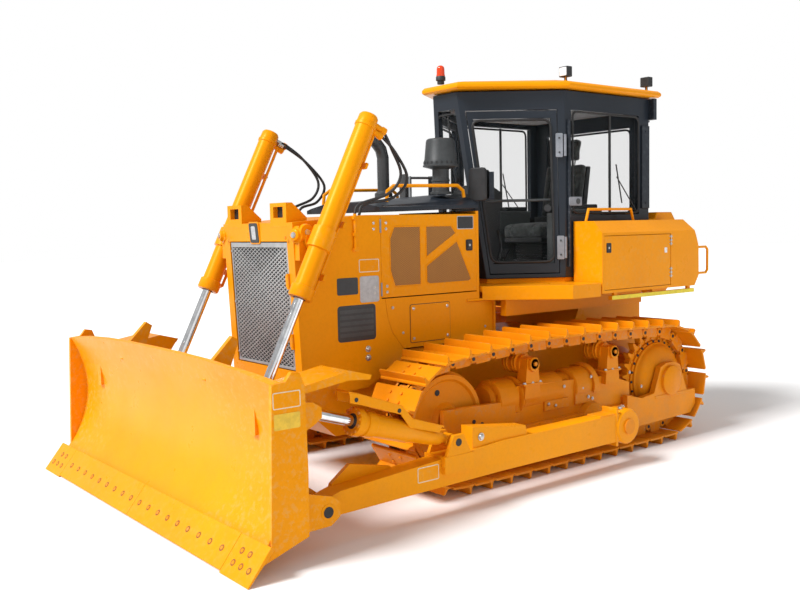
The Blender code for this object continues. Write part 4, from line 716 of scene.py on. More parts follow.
def build_grille():
    """Woven diamond screen in its frame, hinged on the machine's left edge."""
    body, low, high, half = "radiator_grille", 0.922, 1.834, 0.410
    lean = (guard_face(high) - guard_face(low)) / (high - low)

    def spot(x, z, depth):
        return Vector((x, guard_face(z) + depth, z))

    screen = bmesh.new()
    width, pitch_x, pitch_z = 0.0095, 0.056, 0.030
    slope = pitch_z / pitch_x
    for sign in (-1, 1):
        count = int((2 * half * slope + high - low) / pitch_z) + 2
        for i in range(count):
            z_start = low - (2 * half * slope if sign > 0 else 0) + i * pitch_z
            ends = []
            for x in (-half, half):
                ends.append((x, z_start + sign * slope * (x + half)))
            (xa, za), (xb, zb) = ends
            shares = [0.0, 1.0]
            for edge in (low, high):
                t = (edge - za) / (zb - za)
                if 0 < t < 1:
                    shares.append(t)
            shares = sorted(t for t in shares if low - 1e-6 <= za + (zb - za) * t <= high + 1e-6)
            if len(shares) < 2 or shares[-1] - shares[0] < 0.01:
                continue
            a = (xa + (xb - xa) * shares[0], za + (zb - za) * shares[0])
            b = (xa + (xb - xa) * shares[-1], za + (zb - za) * shares[-1])
            depth = 0.010 if sign > 0 else 0.0125
            rise = width / 2 / math.cos(math.atan(slope))
            skin(screen, [[spot(x, min(max(z + rise, low), high), depth),
                spot(x, min(max(z - rise, low), high), depth),
                           spot(x, min(max(z - rise, low), high), depth + 0.003),
                           spot(x, min(max(z + rise, low), high), depth + 0.003)] for x, z in (a, b)])
    settle(screen, "grille_screen", body, "grille", (body,))
    edge = kit(body, "grille", 0.002)
    for x in (-half + 0.008, half - 0.008):
        skin(edge, [[spot(x + dx, z, d) for dx, d in ((-0.008, 0.006), (0.008, 0.006), (0.008, 0.022),
            (-0.008, 0.022))]
                    for z in (low, high)])
    for z, tall in ((low + 0.009, 0.009), (high - 0.018, 0.018)):
        skin(edge, [[spot(x, z + dz, d) for dz, d in ((-tall, 0.004), (tall, 0.004), (tall, 0.022),
            (-tall, 0.022))]
                    for x in (-half, half)])
    for z in (1.56, 1.13):
        turned(kit(body, "yellow"), spot(0.414, z - 0.055, -0.006), (0, lean, 1),
            [(0, 0.014), (0.11, 0.014)], 14)
        slab(kit(body, "yellow", 0.0015), spot(0.392, z, 0.001), (1, 0, 0), (0, lean, 1), 0.045, 0.085,
            0.004, 0.006)
    for z in (0.99, 1.38, 1.77):
        button(body, spot(-0.400, z, 0.004), (0, -1, 0), 0.009)
    # A black sheet just behind the screen: painted shade for the dark space behind the grille.
    shade_sheet = bmesh.new()
    skin(shade_sheet, [[spot(x, z, d) for x, d in ((-half, 0.024), (half, 0.024), (half, 0.028),
        (-half, 0.028))]
                   for z in (low, high)])
    settle(shade_sheet, "grille_shade_sheet", body, "black")
    slab(kit("root", "yellow", 0.002), (-0.02, -2.222, 1.905), (1, 0, 0), (0, -0.1, 1), 0.145, 0.165,
        0.010, 0.02)
    slab(kit("root", "plate_dark", 0.001), (-0.02, -2.232, 1.905), (1, 0, 0), (0, -0.1, 1), 0.125, 0.145,
        0.004, 0.016)
    slab(kit("root", "plate_light", 0.001), (-0.02, -2.236, 1.905), (1, 0, 0), (0, -0.1, 1), 0.060, 0.10,
        0.002, 0.012)
    for x, z in ((-0.44, 1.868), (0.44, 1.868)):
        turned(kit("root", "gear"), (x, guard_face(z) - 0.022, z), (0, -1, 0),
            [(0, 0.012), (0.006, 0.012)], 12)


# ---- Blade, arms and cylinders ---------------------------------------------------------------------

def build_blade():
    refine("blade", "yellow", 0.004)
    for name in ("left", "right"):
        refine(f"push_arm_{name}", "yellow", 0.010, 3)
    refine("tilt_brace", "yellow", 0.004)
    top, tip = Vector(EDGE_TOP), Vector(EDGE_TIP)
    along = (tip - top).normalized()
    back = Vector((-along.y, along.x))
    edge, holes = bmesh.new(), kit("blade", "recess")
    cuts = (-1.694, -1.36, -0.001, 1.36, 1.694)
    for i, (low, high) in enumerate(zip(cuts, cuts[1:])):
        end_bit = i in (0, 3)
        deep = 0.0 if end_bit else 0.012
        outline = [top, tip - along * deep, tip - along * deep + back * 0.011 - along * 0.006,
            top + back * 0.028]
        prism(edge, "x", low + 0.0015, high - 0.0015, [(p.x, p.y) for p in outline])
    settle(edge, "cutting_edge_sections", "blade", "yellow", ("cutting_edge",), 0.003)
    spots = [(-1.26 + i * 2.52 / 17, 0.50) for i in range(18)]
    for sign in (-1, 1):
        spots += [(sign * x, 0.34) for x in (1.46, 1.55)] + [(sign * x, 0.66) for x in (1.44, 1.53, 1.62)]
    for x, share in spots:
        flat = top + (tip - top) * share
        turned(holes, Vector((x, flat.x, flat.y)) - Vector((0, *back)) * 0.0012, (0, *back),
               [(0, 0.021), (0.0014, 0.021)], 16)
        turned(kit("blade", "gear"), Vector((x, flat.x, flat.y)) - Vector((0, *back)) * 0.0028,
            (0, *back),
               [(0, 0.011), (0.003, 0.013)], 16)
    for side, _ in SIDES:
        out = Vector((side, 0, 0))
        face = side * 1.6305
        plate = kit("blade", "yellow", 0.002)
        turned(kit("blade", "yellow"), (side * 1.629, -2.925, 1.105), out, [(0, 0.022), (0.004, 0.022)],
            20)
        slab(plate, (side * 1.630, -3.15, 0.145), (0, side, 0), (0, 0, 1), 0.05, 0.05, 0.002)
        label("blade", (face, -2.992, 0.985), (0, side, 0), (0, 0, 1), 0.18, 0.095, "yellow", "outline")
        label("blade", (face, -2.992, 0.865), (0, side, 0), (0, 0, 1), 0.17, 0.09, "label_gold")
        turned(kit("blade", "rubber"), (side * (1.40 + 0.141), *ARM_PIN), out,
            [(0, 0.034), (0.004, 0.034)], 24)
        turned(kit("blade", "yellow", 0.002), (side * (1.40 + 0.139), *ARM_PIN), out,
               [(0, 0.052), (0.0035, 0.052)], 32)
    pin_x = TILT_X + 0.105
    turned(kit("push_arm_left", "rubber"), (pin_x, *TILT_REAR), (1, 0, 0), [(0, 0.026), (0.004, 0.026)],
        20)
    turned(kit("push_arm_left", "yellow", 0.002), (pin_x - 0.002, *TILT_REAR), (1, 0, 0),
        [(0, 0.040), (0.004, 0.040)],
           28)
    button("push_arm_left", (1.456, -1.36, 0.49), (1, 0, 0), 0.022)
    for side, name in SIDES:
        body, out = f"push_arm_{name}", Vector((side, 0, 0))
        label(body, (side * 1.4702, -1.845, 0.325), (0, side, 0), (0, 0, 1), 0.18, 0.10, "yellow",
            "outline")
        arm = kit(body, "yellow", 0.004)
        turned(arm, (side * 1.325, 0.20, 0.33), out, [(0, 0.132), (0.012, 0.140), (0.145, 0.140),
            (0.160, 0.125)], 40)
        block(arm, sorted((side * 1.33, side * 1.475)), (0.06, 0.085), (0.19, 0.49))
        bolt(body, (side * 1.42, 0.17, 0.466), (0, 0, 1), 0.016)
        bolt(body, (side * 1.38, 0.25, 0.466), (0, 0, 1), 0.014)
        block(arm, sorted((side * 1.335, side * 1.465)), (-0.12, 0.10), (0.425, 0.452))


def build_cylinders():
    for side, name in SIDES:
        pivot, eye = Vector((side * LIFT_X, *LIFT_PIVOT)), Vector((side * LIFT_X, *LIFT_EYE))
        down = (eye - pivot).normalized()
        body, rod_body = f"lift_cylinder_barrel_{name}", f"lift_cylinder_rod_{name}"
        barrel = bmesh.new()
        turned(barrel, pivot, down, [(-0.975, 0.046), (-0.970, 0.060), (-0.955, 0.070), (-0.90, 0.072),
            (-0.895, 0.078),
                                     (-0.875, 0.078), (-0.870, 0.071), (-0.082, 0.071), (-0.078, 0.086),
                                     (0.070, 0.087),
                                     (0.076, 0.071), (0.350, 0.071), (0.354, 0.085), (0.425, 0.085),
                                     (0.436, 0.078),
                                     (0.437, 0.040)], 48)
        settle(barrel, f"lift_barrel_{name}", body, "yellow", (body,))
        rod = bmesh.new()
        turned(rod, pivot, down, [(-0.045, 0.035), (1.40, 0.035)], 40)
        settle(rod, f"lift_rod_{name}", rod_body, "chrome", (rod_body,))
        eye_end = kit(rod_body, "yellow", 0.003)
        turned(eye_end, pivot, down, [(1.37, 0.036), (1.375, 0.044), (1.42, 0.046)], 28)
        turned(eye_end, eye - Vector((0.03, 0, 0)), (1, 0, 0),
            [(0, 0.058), (0.004, 0.060), (0.056, 0.060), (0.06, 0.058)],
               36)
        turned(kit(body, "rubber"), pivot, down, [(0.434, 0.046), (0.4395, 0.044)], 28)
        behind = Vector((0, down.z, -down.y)).normalized()
        if behind.y < 0:
            behind = -behind
        inner = Vector((-side, 0, 0))
        for angle in (20, 80, 140, 200, 260, 320):
            turn = math.radians(angle)
            away = behind * math.cos(turn) + inner * math.sin(turn)
            turned(kit(body, "yellow"), pivot + down * 0.426 + away * 0.066, down,
                [(0, 0.009), (0.010, 0.009)], 6)
        pipe_at = behind * 0.098 + inner * 0.012
        line = [pivot - down * 0.90 + behind * 0.060, pivot - down * 0.885 + pipe_at,
            pivot - down * 0.50 + pipe_at,
                pivot + down * 0.05 + pipe_at, pivot + down * 0.36 + pipe_at,
                pivot + down * 0.385 + behind * 0.070]
        tube(kit(body, "yellow"), line, 0.012, 10)
        for at in (-0.62, -0.16, 0.24):
            slab(kit(body, "yellow", 0.002), pivot + down * at + behind * 0.092 - inner * 0.02, down,
                behind.cross(down),
                 0.045, 0.055, 0.018, 0.008)
            bolt(body, pivot + down * at + behind * 0.112, behind, 0.008)
        for at, reach in ((-0.930, 0.115), (-0.885, 0.10)):
            turned(kit(body, "yellow"), pivot + down * at + behind * 0.055, behind,
                [(0, 0.022), (reach - 0.04, 0.022),
                                                                                (reach - 0.03, 0.028),
                                                                                (reach, 0.028)], 14)
        bolt(body, pivot - down * 0.930 + inner * -0.060, -inner, 0.014, "yellow")
        trunnion = pivot + Vector((-side * 0.083, 0, 0))
        turned(kit("root", "yellow", 0.003), trunnion, (-side, 0, 0), [(0.004, 0.075), (0.030, 0.075)],
            32)
        turned(kit("root", "yellow", 0.003), (side * 0.585, -2.155, 1.905), (side, 0, 0),
               [(-0.03, 0.060), (0.002, 0.055)], 28)
        turned(kit("root", "steel"), (side * 0.587, -2.155, 1.905), (side, 0, 0),
            [(0, 0.022), (0.010, 0.020)], 6)
    start = Vector((TILT_X, *TILT_REAR))
    way = (Vector((TILT_X, *TILT_FRONT)) - start).normalized()
    length = (Vector((TILT_X, *TILT_FRONT)) - start).length
    end = length * 0.70
    barrel = bmesh.new()
    turned(barrel, start, way, [(0.03, 0.030), (0.085, 0.030), (0.088, 0.048), (0.20, 0.060),
        (0.36, 0.066),
                                (0.38, 0.074), (end - 0.155, 0.075), (end - 0.150, 0.084),
                                (end - 0.085, 0.084),
                                (end - 0.080, 0.076), (end - 0.050, 0.076), (end - 0.048, 0.092),
                                (end - 0.003, 0.092),
                                (end, 0.086), (end, 0.041)], 48)
    turned(barrel, start - Vector((0.035, 0, 0)), (1, 0, 0), [(0, 0.042), (0.004, 0.045), (0.066, 0.045),
        (0.07, 0.042)],
           32)
    plate = [(-2.459, 0.944), (-2.385, 0.922), (-2.045, 0.801), (-1.965, 0.705), (-1.70, 0.618),
        (-1.70, 0.606),
             (-1.972, 0.694), (-2.052, 0.790), (-2.388, 0.910), (-2.459, 0.931)]
    prism(barrel, "x", TILT_X - 0.07, TILT_X + 0.07, plate)
    face = [(-2.455, 0.935), (-2.385, 0.918), (-2.045, 0.797), (-1.965, 0.701), (-1.72, 0.617),
        (-1.74, 0.578),
            (-1.99, 0.650), (-2.06, 0.745), (-2.36, 0.845), (-2.45, 0.870)]
    prism(barrel, "x", TILT_X + 0.0615, TILT_X + 0.0715, face)
    prism(barrel, "x", TILT_X - 0.0715, TILT_X - 0.0615, face)
    settle(barrel, "tilt_barrel", "tilt_cylinder_barrel", "yellow", ("tilt_cylinder_barrel",), 0.002)
    for i in range(12):
        turn = 2 * math.pi * i / 12
        _, side_way, other = frame_of(way)
        away = side_way * math.cos(turn) + other * math.sin(turn)
        turned(kit("tilt_cylinder_barrel", "gear"), start + way * (end - 0.003) + away * 0.079, way,
               [(0, 0.0115), (0.014, 0.0115)], 6)
    turned(kit("tilt_cylinder_barrel", "rubber"), start + way * (end - 0.001), way,
        [(0, 0.050), (0.004, 0.048)], 28)
    for y, z in ((-2.405, 0.885), (-2.075, 0.772)):
        turned(kit("tilt_cylinder_barrel", "rubber"), (TILT_X + 0.0716, y, z), (1, 0, 0),
            [(0, 0.014), (0.003, 0.014)],
               14)
    rod = bmesh.new()
    turned(rod, start, way, [(end - 0.20, 0.035), (length - 0.045, 0.035)], 40)
    settle(rod, "tilt_rod", "tilt_cylinder_rod", "chrome", ("tilt_cylinder_rod",))
    turned(kit("tilt_cylinder_rod", "yellow", 0.003), start + way * length - Vector((0.03, 0, 0)),
        (1, 0, 0),
           [(0, 0.050), (0.06, 0.050)], 32)


def build_hoses():
    """Two hoses from each lift cylinder's head down to the radiator guard."""
    for side, name in SIDES:
        body = f"lift_cylinder_barrel_{name}"
        for k, (reach, drop, x_end, y_end) in enumerate(((0.30, 0.0, 0.455, -1.66),
            (0.36, -0.03, 0.430, -1.60))):
            start = Vector((side * (0.660 - 0.026 * k), -1.598 + 0.004 * k, 2.640 - 0.030 * k))
            points = [start, start + Vector((-side * 0.004, 0.07, -0.03)),
                      Vector((side * 0.60, -1.60 + reach * 0.62, 2.50 + drop)),
                      Vector((side * 0.56, -1.60 + reach, 2.32 + drop)),
                      Vector((side * 0.52, -1.60 + reach * 0.72, 2.18 + drop)),
                      Vector((side * x_end, y_end + 0.05, 2.10)), Vector((side * x_end, y_end, 2.022))]
            path = [p + Vector((0, MID_Y, 0)) for p in smooth_path(points, 6)]
            bm = bmesh.new()
            tube(bm, path, 0.011, 12)
            hose = settle(bm, f"lift_hose_{name}_{k + 1}", "root", "rubber", shift=False)
            hose.parent = None
            del hose["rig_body"]
            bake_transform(hose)
            first = path[0] - Vector((0, MID_Y, 0))
            turned(kit(body, "steel"), first - Vector((0, 0.012, -0.006)), (0, 0.92, -0.39),
                [(-0.03, 0.014), (0.02, 0.014)],
                   12)


# ---- Cab and platform ------------------------------------------------------------------------------

def cab_point(share, z, proud=0.0, side=1):
    """A place on the cab's slanted door wall: share 0 at the front corner and 1 at the middle pillar."""
    rise = (z - 1.47) / (3.045 - 1.47)
    x = 0.29 + (0.15 - 0.29) * rise
    y = 0.36 - (0.70 - x) * (0.36 + 0.365) / (0.70 - 0.15)
    spot = Vector((x, y, z)).lerp(Vector((0.70, 0.36, z)), share)
    out = Vector((0.725, -0.55, 0)).normalized()
    spot += out * proud
    return Vector((side * spot.x, spot.y, spot.z))


def seal(body, points, radius=0.010):
    tube(kit(body, "rubber"), points + points[:1], radius, 8)


def rounded(corners, radius, steps=4):
    """The loop through the corners with each corner rounded."""
    loop, count = [], len(corners)
    for i, corner in enumerate(corners):
        before = (corners[i - 1] - corner).normalized() * radius
        after = (corners[(i + 1) % count] - corner).normalized() * radius
        for k in range(steps + 1):
            t = k / steps
            start, end = corner + before, corner + after
            loop.append(start * (1 - t) ** 2 + corner * 2 * t * (1 - t) + end * t * t)
    return loop


def build_cab():
    refine("cab_frame", "slate", 0.005, 3)
    refine("cab_roof", "yellow", 0.006, 3)
    refine("platform", "yellow", 0.004)
    refine("instrument_panel", "black", 0.010, 3)
    refine("control_consoles", "console", 0.010, 3)
    for node in ("windshield", "rear_window", "side_window_left", "side_window_right", "door_glass_left",
                 "door_glass_right"):
        NODES[node].data.materials.clear()
        NODES[node].data.materials.append(FINISHES["glass"])
    for side, name in SIDES:
        door = f"cab_door_{name}"
        refine(door, "slate", 0.004)
        out = Vector((side * 0.797, -0.604, 0))
        along = Vector((side * 0.604, 0.797, 0))
        low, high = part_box(f"door_glass_{name}")
        corners = [cab_point(s, z, 0.004, side) for s, z in ((0.10, low.z + 0.01), (0.86, low.z + 0.01),
                                                             (0.86, high.z - 0.01),
                                                             (0.10, high.z - 0.01))]
        seal(door, rounded(corners, 0.07), 0.011)
        for z in (2.585, 1.725):
            slab(kit(door, "hinge", 0.002), cab_point(0.94, z, 0.006, side), along * side, (0, 0, 1),
                0.060, 0.20,
                 0.016, 0.010)
            tube(kit("root", "hinge"), [cab_point(1.0, z - 0.09, 0.010, side),
                cab_point(1.0, z + 0.09, 0.010, side)],
                 0.012, 14)
            for dz in (-0.06, 0.06):
                turned(kit(door, "charcoal"), cab_point(0.94, z + dz, 0.022, side), out,
                    [(0, 0.009), (0.005, 0.007)],
                       10)
        tube(kit("root", "slate"), [(side * 0.708, 0.400, 1.56), (side * 0.708, 0.400, 2.80)], 0.013, 12)
        slab(kit("root", "hinge", 0.002), Vector((side * 0.700, 0.47, 2.115)), (0, side, 0), (0, 0, 1),
            0.16, 0.075,
             0.022, 0.012)
        turned(kit("root", "charcoal"), Vector((side * 0.716, 0.50, 2.115)), (side, 0, 0),
            [(0, 0.026), (0.010, 0.024)], 20)
        bar = [cab_point(s, 2.13, -0.03, side) for s in (0.13, 0.84)]
        tube(kit(door, "charcoal"), bar, 0.012, 12)
        turned(kit(door, "black"), cab_point(0.80, 2.06, 0.012, side), out,
            [(-0.01, 0.032), (0.010, 0.030)], 24)
        centre = Vector((side * 0.475, -0.425, 2.258))
        slab(kit(door, "black", 0.008), centre, (side * 0.95, 0.31, 0), (0, 0, 1), 0.155, 0.27,
            0.035 * side, 0.03)
        slab(kit(door, "mirror"), centre + Vector((0, 0.039, 0)), (side * 0.95, 0.31, 0), (0, 0, 1),
            0.130, 0.235,
             0.002 * side, 0.02)
        tube(kit(door, "black"), [cab_point(0.06, 2.34, 0.0, side), cab_point(0.03, 2.35, 0.045, side),
                                  centre + Vector((-side * 0.06, 0.01, 0.10))], 0.011, 10, 4)
        lo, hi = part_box(f"side_window_{name}")
        x = side * 0.703
        corners = [Vector((x, y, z)) for y, z in ((lo.y - MID_Y + 0.01, lo.z + 0.01),
            (hi.y - MID_Y - 0.01, lo.z + 0.01),
                                                  (hi.y - MID_Y - 0.01, hi.z - 0.01),
                                                  (lo.y - MID_Y + 0.01, hi.z - 0.01))]
        seal("root", rounded(corners, 0.06), 0.010)
        x = side * 0.690
        block(kit("root", "black"), sorted((x, x - side * 0.014)), (0.955, 0.975), (lo.z, hi.z))
        tube(kit("root", "black"), [(side * 0.712, 1.30, 2.03), (side * 0.718, 1.02, 2.33)], 0.005, 8)
        tube(kit("root", "black"), [(side * 0.710, 1.10, 2.10), (side * 0.710, 1.02, 2.44)], 0.006, 8)
        block(kit("root", "slate", 0.006), sorted((side * 0.700, side * 0.716)), (1.385, 1.495),
            (2.05, 2.80))
        for z in (2.10, 2.75):
            button("root", (side * 0.716, 1.44, z), (side, 0, 0), 0.009, "slate")
    lo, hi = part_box("rear_window")
    y = hi.y - MID_Y + 0.006
    seal("root", rounded([Vector((x, y, z)) for x, z in ((lo.x + 0.01, lo.z + 0.01),
        (hi.x - 0.01, lo.z + 0.01),
                                                         (hi.x - 0.01, hi.z - 0.01),
                                                         (lo.x + 0.01, hi.z - 0.01))],
                         0.06), 0.010)
    corners = [Vector((sx * (0.205 if z < 2 else 0.125), -0.335 if z > 2 else -0.185, z))
               for sx, z in ((-1, 1.65), (1, 1.65), (1, 2.87), (-1, 2.87))]
    seal("root", rounded(corners, 0.05), 0.009)
    tube(kit("root", "black"), [(0.02, -0.345, 2.86), (0.02, -0.32, 2.55), (0.05, -0.29, 2.30)], 0.006, 8)
    liner = kit("root", "liner")
    plan = [(0.10, -0.24), (0.62, 0.38), (0.62, 1.38)]
    prism(liner, "z", 2.925, 2.945, plan + [(-x, y) for x, y in plan[::-1]])
    for side in (-1, 1):
        block(kit("root", "slate", 0.004), sorted((side * 0.60, side * 0.755)), (1.503, 1.548),
            (2.855, 3.045))
        block(kit("root", "rubber", 0.006), sorted((side * 0.60, side * 0.655)), (0.52, 1.44),
            (1.505, 1.98))
        block(kit("root", "rubber", 0.006), sorted((side * 0.26, side * 0.58)), (-0.02 + 0.25, 0.42),
            (1.505, 1.53))
    block(kit("root", "rubber", 0.006), (-0.28, 0.28), (-0.10, 0.60), (1.503, 1.512))
    block(kit("root", "rubber", 0.006), (-0.55, 0.55), (1.30, 1.44), (1.505, 2.0))
    build_roof_gear()
    build_seat()
    build_controls()


def build_roof_gear():
    lo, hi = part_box("beacon")
    spot = Vector(((lo.x + hi.x) / 2, (lo.y + hi.y) / 2 - MID_Y, lo.z))
    tall = hi.z - lo.z
    base = bmesh.new()
    turned(base, spot, (0, 0, 1), [(0, 0.030), (0.028, 0.030), (0.030, 0.041), (0.060, 0.041),
        (0.066, 0.037)], 32)
    settle(base, "beacon_base", "root", "black")
    lens = bmesh.new()
    turned(lens, spot, (0, 0, 1), [(0.066, 0.036), (0.075, 0.037), (0.082, 0.0345), (tall - 0.03, 0.033),
                                   (tall - 0.014, 0.029), (tall - 0.004, 0.018), (tall, 0.006)], 36)
    settle(lens, "beacon_lens", "root", "beacon", ("beacon",))
    for x, y in ((0.66, 0.42), (0.66, 1.52), (-0.66, 0.42), (-0.66, 1.52)):
        front = -1 if y < 1 else 1
        block(kit("root", "black", 0.006), (x - 0.047, x + 0.047), (y - 0.032, y + 0.032), (3.160, 3.247))
        slab(kit("root", "lens", 0.002), (x, y + front * 0.032, 3.2035), (-front, 0, 0), (0, 0, 1), 0.078,
            0.070, 0.004,
             0.008)
        tube(kit("root", "black"), [(x, y, 3.11), (x, y, 3.165)], 0.012, 12)


def pad(name, size, centre, tilt, cap, corner):
    """A stuffed cushion blown up from a slightly smaller rounded block."""
    bm = bmesh.new()
    bmesh.ops.create_cube(bm, size=1.0)
    bmesh.ops.scale(bm, vec=size, verts=bm.verts)
    bmesh.ops.bevel(bm, geom=bm.edges[:], offset=corner, segments=3, profile=0.6, affect="EDGES")
    mesh = bpy.data.meshes.new(name)
    bm.to_mesh(mesh)
    bm.free()
    obj = bpy.data.objects.new(name, mesh)
    scene = bpy.context.scene
    scene.collection.objects.link(obj)
    remesh = obj.modifiers.new("remesh", "REMESH")
    remesh.mode, remesh.voxel_size = "VOXEL", 0.006
    graph = bpy.context.evaluated_depsgraph_get()
    solid = bpy.data.meshes.new_from_object(obj.evaluated_get(graph))
    obj.modifiers.clear()
    obj.data = solid
    rest = [v.co.copy() for v in solid.vertices]
    moved = rest
    cloth = obj.modifiers.new("cloth", "CLOTH")
    cloth.settings.use_pressure, cloth.settings.uniform_pressure_force = True, 4.0
    cloth.settings.effector_weights.gravity = 0
    cloth.point_cache.frame_start, cloth.point_cache.frame_end = 1, 20
    for step in range(1, 21):
        scene.frame_set(step)
    blown = obj.evaluated_get(bpy.context.evaluated_depsgraph_get()).data
    moved = [v.co.copy() for v in blown.vertices]
    obj.modifiers.remove(cloth)
    scene.frame_set(1)
    half = Vector(size) / 2
    for vertex, a, b in zip(solid.vertices, rest, moved):
        push = b - a
        if push.length > cap:
            push *= cap / push.length
        spot = a + push
        reach = max(0.0, 1 - (abs(a.x) / half.x) ** 4) * max(0.0, 1 - (abs(a.y) / half.y) ** 4)
        crown = 0.012 * reach * (1 if a.z > 0 else 0.3)
        seam = 0.010 * max(0.0, 1 - abs(abs(a.x) - half.x * 0.56) / 0.010) * (1 if a.z > 0 else 0)
        vertex.co = spot + Vector((0, 0, (crown - seam) * (1 if a.z > 0 else -1)))
    for face in solid.polygons:
        face.use_smooth = True
    extra = obj.modifiers.new("smooth", "SUBSURF")
    extra.levels = extra.render_levels = 1
    obj.matrix_world = Matrix.Translation((centre[0], centre[1] + MID_Y,
        centre[2])) @ Matrix.Rotation(tilt, 4, "X")
    solid.materials.clear()
    solid.materials.append(FINISHES["cloth"])
    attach(obj, "root")
    return obj


def build_seat():
    cushion = pad("seat_cushion", (0.48, 0.50, 0.11), (0, 0.79, 1.865), 0.03, 0.010, 0.03)
    pad("seat_backrest", (0.46, 0.50, 0.085), (0, 1.125, 2.235), math.radians(79), 0.010, 0.03)
    pad("seat_headrest", (0.25, 0.20, 0.085), (0, 1.205, 2.62), math.radians(80), 0.008, 0.03)
    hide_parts("seat")
    base = kit("root", "black", 0.008)
    block(base, (-0.20, 0.20), (0.62, 1.04), (1.503, 1.60))
    block(base, (-0.15, 0.15), (0.66, 1.00), (1.60, 1.76))
    block(base, (-0.235, 0.235), (0.56, 1.05), (1.76, 1.805))
    for i in range(6):
        z = 1.60 + i * 0.027
        block(kit("root", "rubber", 0.004), (-0.17, 0.17), (0.64, 1.02), (z, z + 0.016))
    prism(base, "x", -0.215, 0.215, [(1.13, 1.90), (1.185, 1.90), (1.27, 2.46), (1.215, 2.46)])
    for x in (-0.06, 0.06):
        tube(kit("root", "steel"), [(x, 1.21, 2.45), (x, 1.235, 2.56)], 0.007, 10)


def build_controls():
    for side in (-1, 1):
        x = side * 0.44
        block(kit("root", "console", 0.012), sorted((side * 0.335, side * 0.548)), (0.60, 1.03),
            (2.02, 2.055))
        block(kit("root", "black", 0.012), sorted((side * 0.36, side * 0.52)), (0.70, 1.00),
            (2.055, 2.095))
        turned(kit("root", "black"), (x, 0.553, 2.19), (0, -0.05, 1),
            [(0, 0.016), (0.01, 0.024), (0.035, 0.027),
                                                                      (0.052, 0.018), (0.056, 0.004)], 20)
        turned(kit("root", "rubber"), (x, 0.60, 1.995), (0, -0.3, 1),
            [(0, 0.05), (0.02, 0.046), (0.03, 0.034),
                                                                     (0.05, 0.032), (0.06, 0.02)], 20)
        for k in range(3):
            button("root", (x + side * 0.05, 0.66 + 0.03 * k, 2.056), (0, 0, 1), 0.008, "white")
        tube(kit("root", "black"), [(side * 0.12, 0.10, 1.51), (side * 0.12, 0.20, 1.62),
            (side * 0.12, 0.22, 1.66)],
             0.009, 8)
        slab(kit("root", "rubber", 0.003), (side * 0.12, 0.215, 1.67), (1, 0, 0), (0, 0.6, 0.8), 0.075,
            0.09, 0.010)
    slab(kit("root", "charcoal", 0.003), (0, 0.105, 2.16), (-1, 0, 0), (0, -0.35, 0.94), 0.32, 0.14,
        0.006, 0.02)
    for x in (-0.10, -0.035, 0.03, 0.095):
        turned(kit("root", "white"), (x, 0.112, 2.165), (0, 0.94, 0.35), [(0, 0.024), (0.004, 0.024)], 24)
        turned(kit("root", "plate_dark"), (x, 0.1155, 2.1665), (0, 0.94, 0.35),
            [(0, 0.020), (0.002, 0.020)], 24)
    tube(kit("root", "rubber"), [(0.24, 0.0, 1.55), (0.27, 0.02, 1.75), (0.21, 0.04, 1.88)], 0.012, 8, 5)


def build_boxes():
    refine("battery_box", "yellow", 0.005, 3)
    refine("hydraulic_tank", "yellow", 0.005, 3)
    refine("fuel_tank", "yellow", 0.010, 3)
    refine("battery_door", "yellow", 0.003)
    face, out = 1.018, Vector((1, 0, 0))
    across, up = Vector((0, 1, 0)), Vector((0, 0, 1))
    door = "battery_door"
    slab(kit(door, "rubber"), (face, 0.538, 1.716), across, up, 0.062, 0.082, 0.002, 0.010)
    slab(kit(door, "black"), (face + 0.001, 0.538, 1.716), across, up, 0.042, 0.056, 0.003, 0.008)
    turned(kit(door, "steel"), (face + 0.003, 0.538, 1.716), out, [(0, 0.009), (0.002, 0.009)], 12)
    for z in (1.761, 1.475):
        for dz in (-0.032, 0.0, 0.032):
            tube(kit(door, "steel"), [(face + 0.004, 1.394, z + dz - 0.013),
                (face + 0.004, 1.394, z + dz + 0.013)], 0.007,
                 10)
            tube(kit(door, "steel"), [(face + 0.001, 1.372, z + dz), (face + 0.001, 1.416, z + dz)],
                0.0045, 8)
    slab(kit(door, "white"), (face, 1.321, 1.674), across, up, 0.036, 0.046, 0.002)
    slab(kit("root", "strip"), (1.0205, 1.16, 1.295), across, up, 1.165, 0.033, 0.001)
    slab(kit("root", "strip"), (-1.0205, 1.16, 1.295), -across, up, 1.165, 0.033, 0.001)
    for x in (1, -1):
        slab(kit("root", "beacon"), (x * 0.90, 1.823, 1.60), (-1, 0, 0), up, 0.10, 0.16, 0.006, 0.012)
        slab(kit("root", "yellow", 0.002), (x * 0.30, 1.921, 1.70), (-1, 0, 0), up, 0.42, 0.36, 0.003,
            0.02)
    turned(kit("root", "black"), (0.42, 1.74, 2.010), (0, 0, 1),
        [(0, 0.05), (0.03, 0.05), (0.036, 0.042)], 24)
    turned(kit("root", "gear"), (0, 1.79, 0.50), (0, 0, 1), [(0, 0.028), (0.36, 0.028), (0.362, 0.045),
        (0.385, 0.045)],
           24)


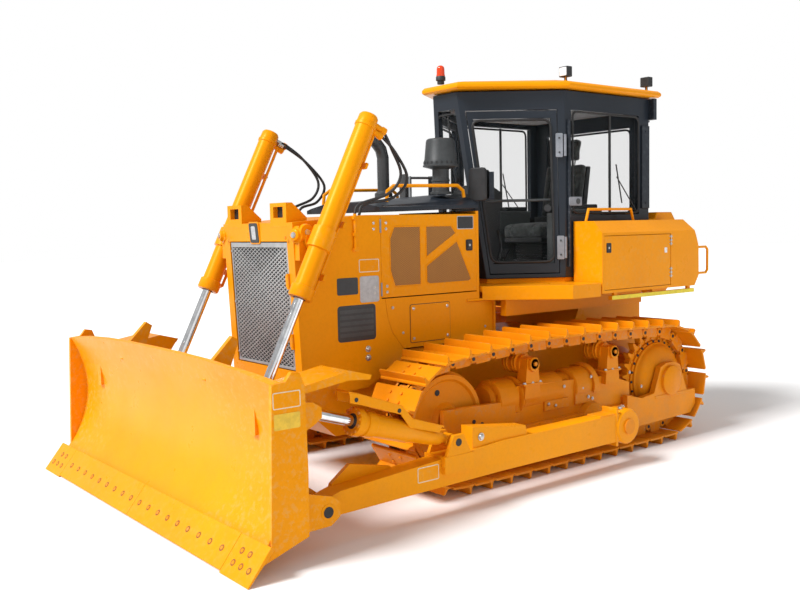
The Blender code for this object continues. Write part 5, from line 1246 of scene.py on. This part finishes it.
def build_stacks():
    refine("exhaust_stack", "charcoal", 0.003)
    lo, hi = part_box("air_precleaner")
    spot = Vector(((lo.x + hi.x) / 2, (lo.y + hi.y) / 2 - MID_Y, lo.z))
    bm = bmesh.new()
    turned(bm, spot, (0, 0, 1), [(0, 0.085), (0.018, 0.085), (0.024, 0.070), (0.10, 0.068),
        (0.104, 0.074),
                                 (0.118, 0.074), (0.122, 0.068), (0.200, 0.068), (0.214, 0.115),
                                 (0.222, 0.143),
                                 (0.232, 0.1435), (0.238, 0.137), (0.268, 0.135), (0.280, 0.130),
                                 (0.420, 0.116),
                                 (0.436, 0.112), (0.446, 0.098), (0.448, 0.03)], 64)
    settle(bm, "precleaner_body", "root", "charcoal", ("air_precleaner",))
    for i in range(20):
        turn = 2 * math.pi * i / 20
        away = Vector((math.cos(turn), math.sin(turn), 0))
        slab(kit("root", "black", 0.001), spot + away * 0.1325 + Vector((0, 0, 0.252)),
            away.cross(Vector((0, 0, 1))) * -1,
             (0, 0, 1), 0.016, 0.020, 0.006)
    ring = [spot + Vector((0.024 * math.cos(math.radians(a)), 0,
        0.447 + 0.007 * math.sin(math.radians(a))))
            for a in range(0, 181, 30)]
    tube(kit("root", "charcoal"), ring, 0.004, 8)


def close_kits():
    """Turns each gathered kit into one piece."""
    for (body, finish, bevel), bm in KITS.items():
        tag = f"_{int(bevel * 10000)}" if bevel else ""
        settle(bm, f"{body}_{finish}_details{tag}", body, finish, bevel=bevel)


def build_stage():
    size = 60
    mesh = bpy.data.meshes.new("floor")
    mesh.from_pydata([(-size, -size, 0), (size, -size, 0), (size, size, 0), (-size, size, 0)], [],
        [(0, 1, 2, 3)])
    floor = bpy.data.objects.new("floor", mesh)
    bpy.context.scene.collection.objects.link(floor)
    mesh.materials.append(Finish("studio_floor", Base_Color=(0.93, 0.93, 0.93, 1),
        Roughness=0.9).material)
    world = bpy.data.worlds.new("studio")
    bpy.context.scene.world = world
    world.use_nodes = True
    tree = world.node_tree
    seen = tree.nodes.new("ShaderNodeLightPath")
    level = tree.nodes.new("ShaderNodeMapRange")
    level.inputs["To Min"].default_value, level.inputs["To Max"].default_value = 0.50, 1.0
    tree.links.new(seen.outputs["Is Camera Ray"], level.inputs["Value"])
    tree.links.new(level.outputs["Result"], tree.nodes["Background"].inputs["Strength"])
    tree.nodes["Background"].inputs["Color"].default_value = (1.0, 1.0, 1.0, 1)
    for name, way, strength, angle in (("key", (0.10, 0.68, -0.73), 4.1, 20),
        ("fill", (-0.9, 0.15, -0.4), 0.25, 50)):
        data = bpy.data.lights.new(name, "SUN")
        data.energy, data.angle = strength, math.radians(angle)
        lamp = bpy.data.objects.new(name, data)
        bpy.context.scene.collection.objects.link(lamp)
        lamp.rotation_mode = "QUATERNION"
        lamp.rotation_quaternion = Vector(way).to_track_quat("-Z", "Y")
    bpy.context.scene.view_settings.view_transform = "Standard"


place_camera()
build_hoses()
build_tracks()
build_wheels()
build_track_frames()
build_enclosure()
build_blade()
build_cylinders()
build_cab()
build_boxes()
build_stacks()
close_kits()
build_stage()
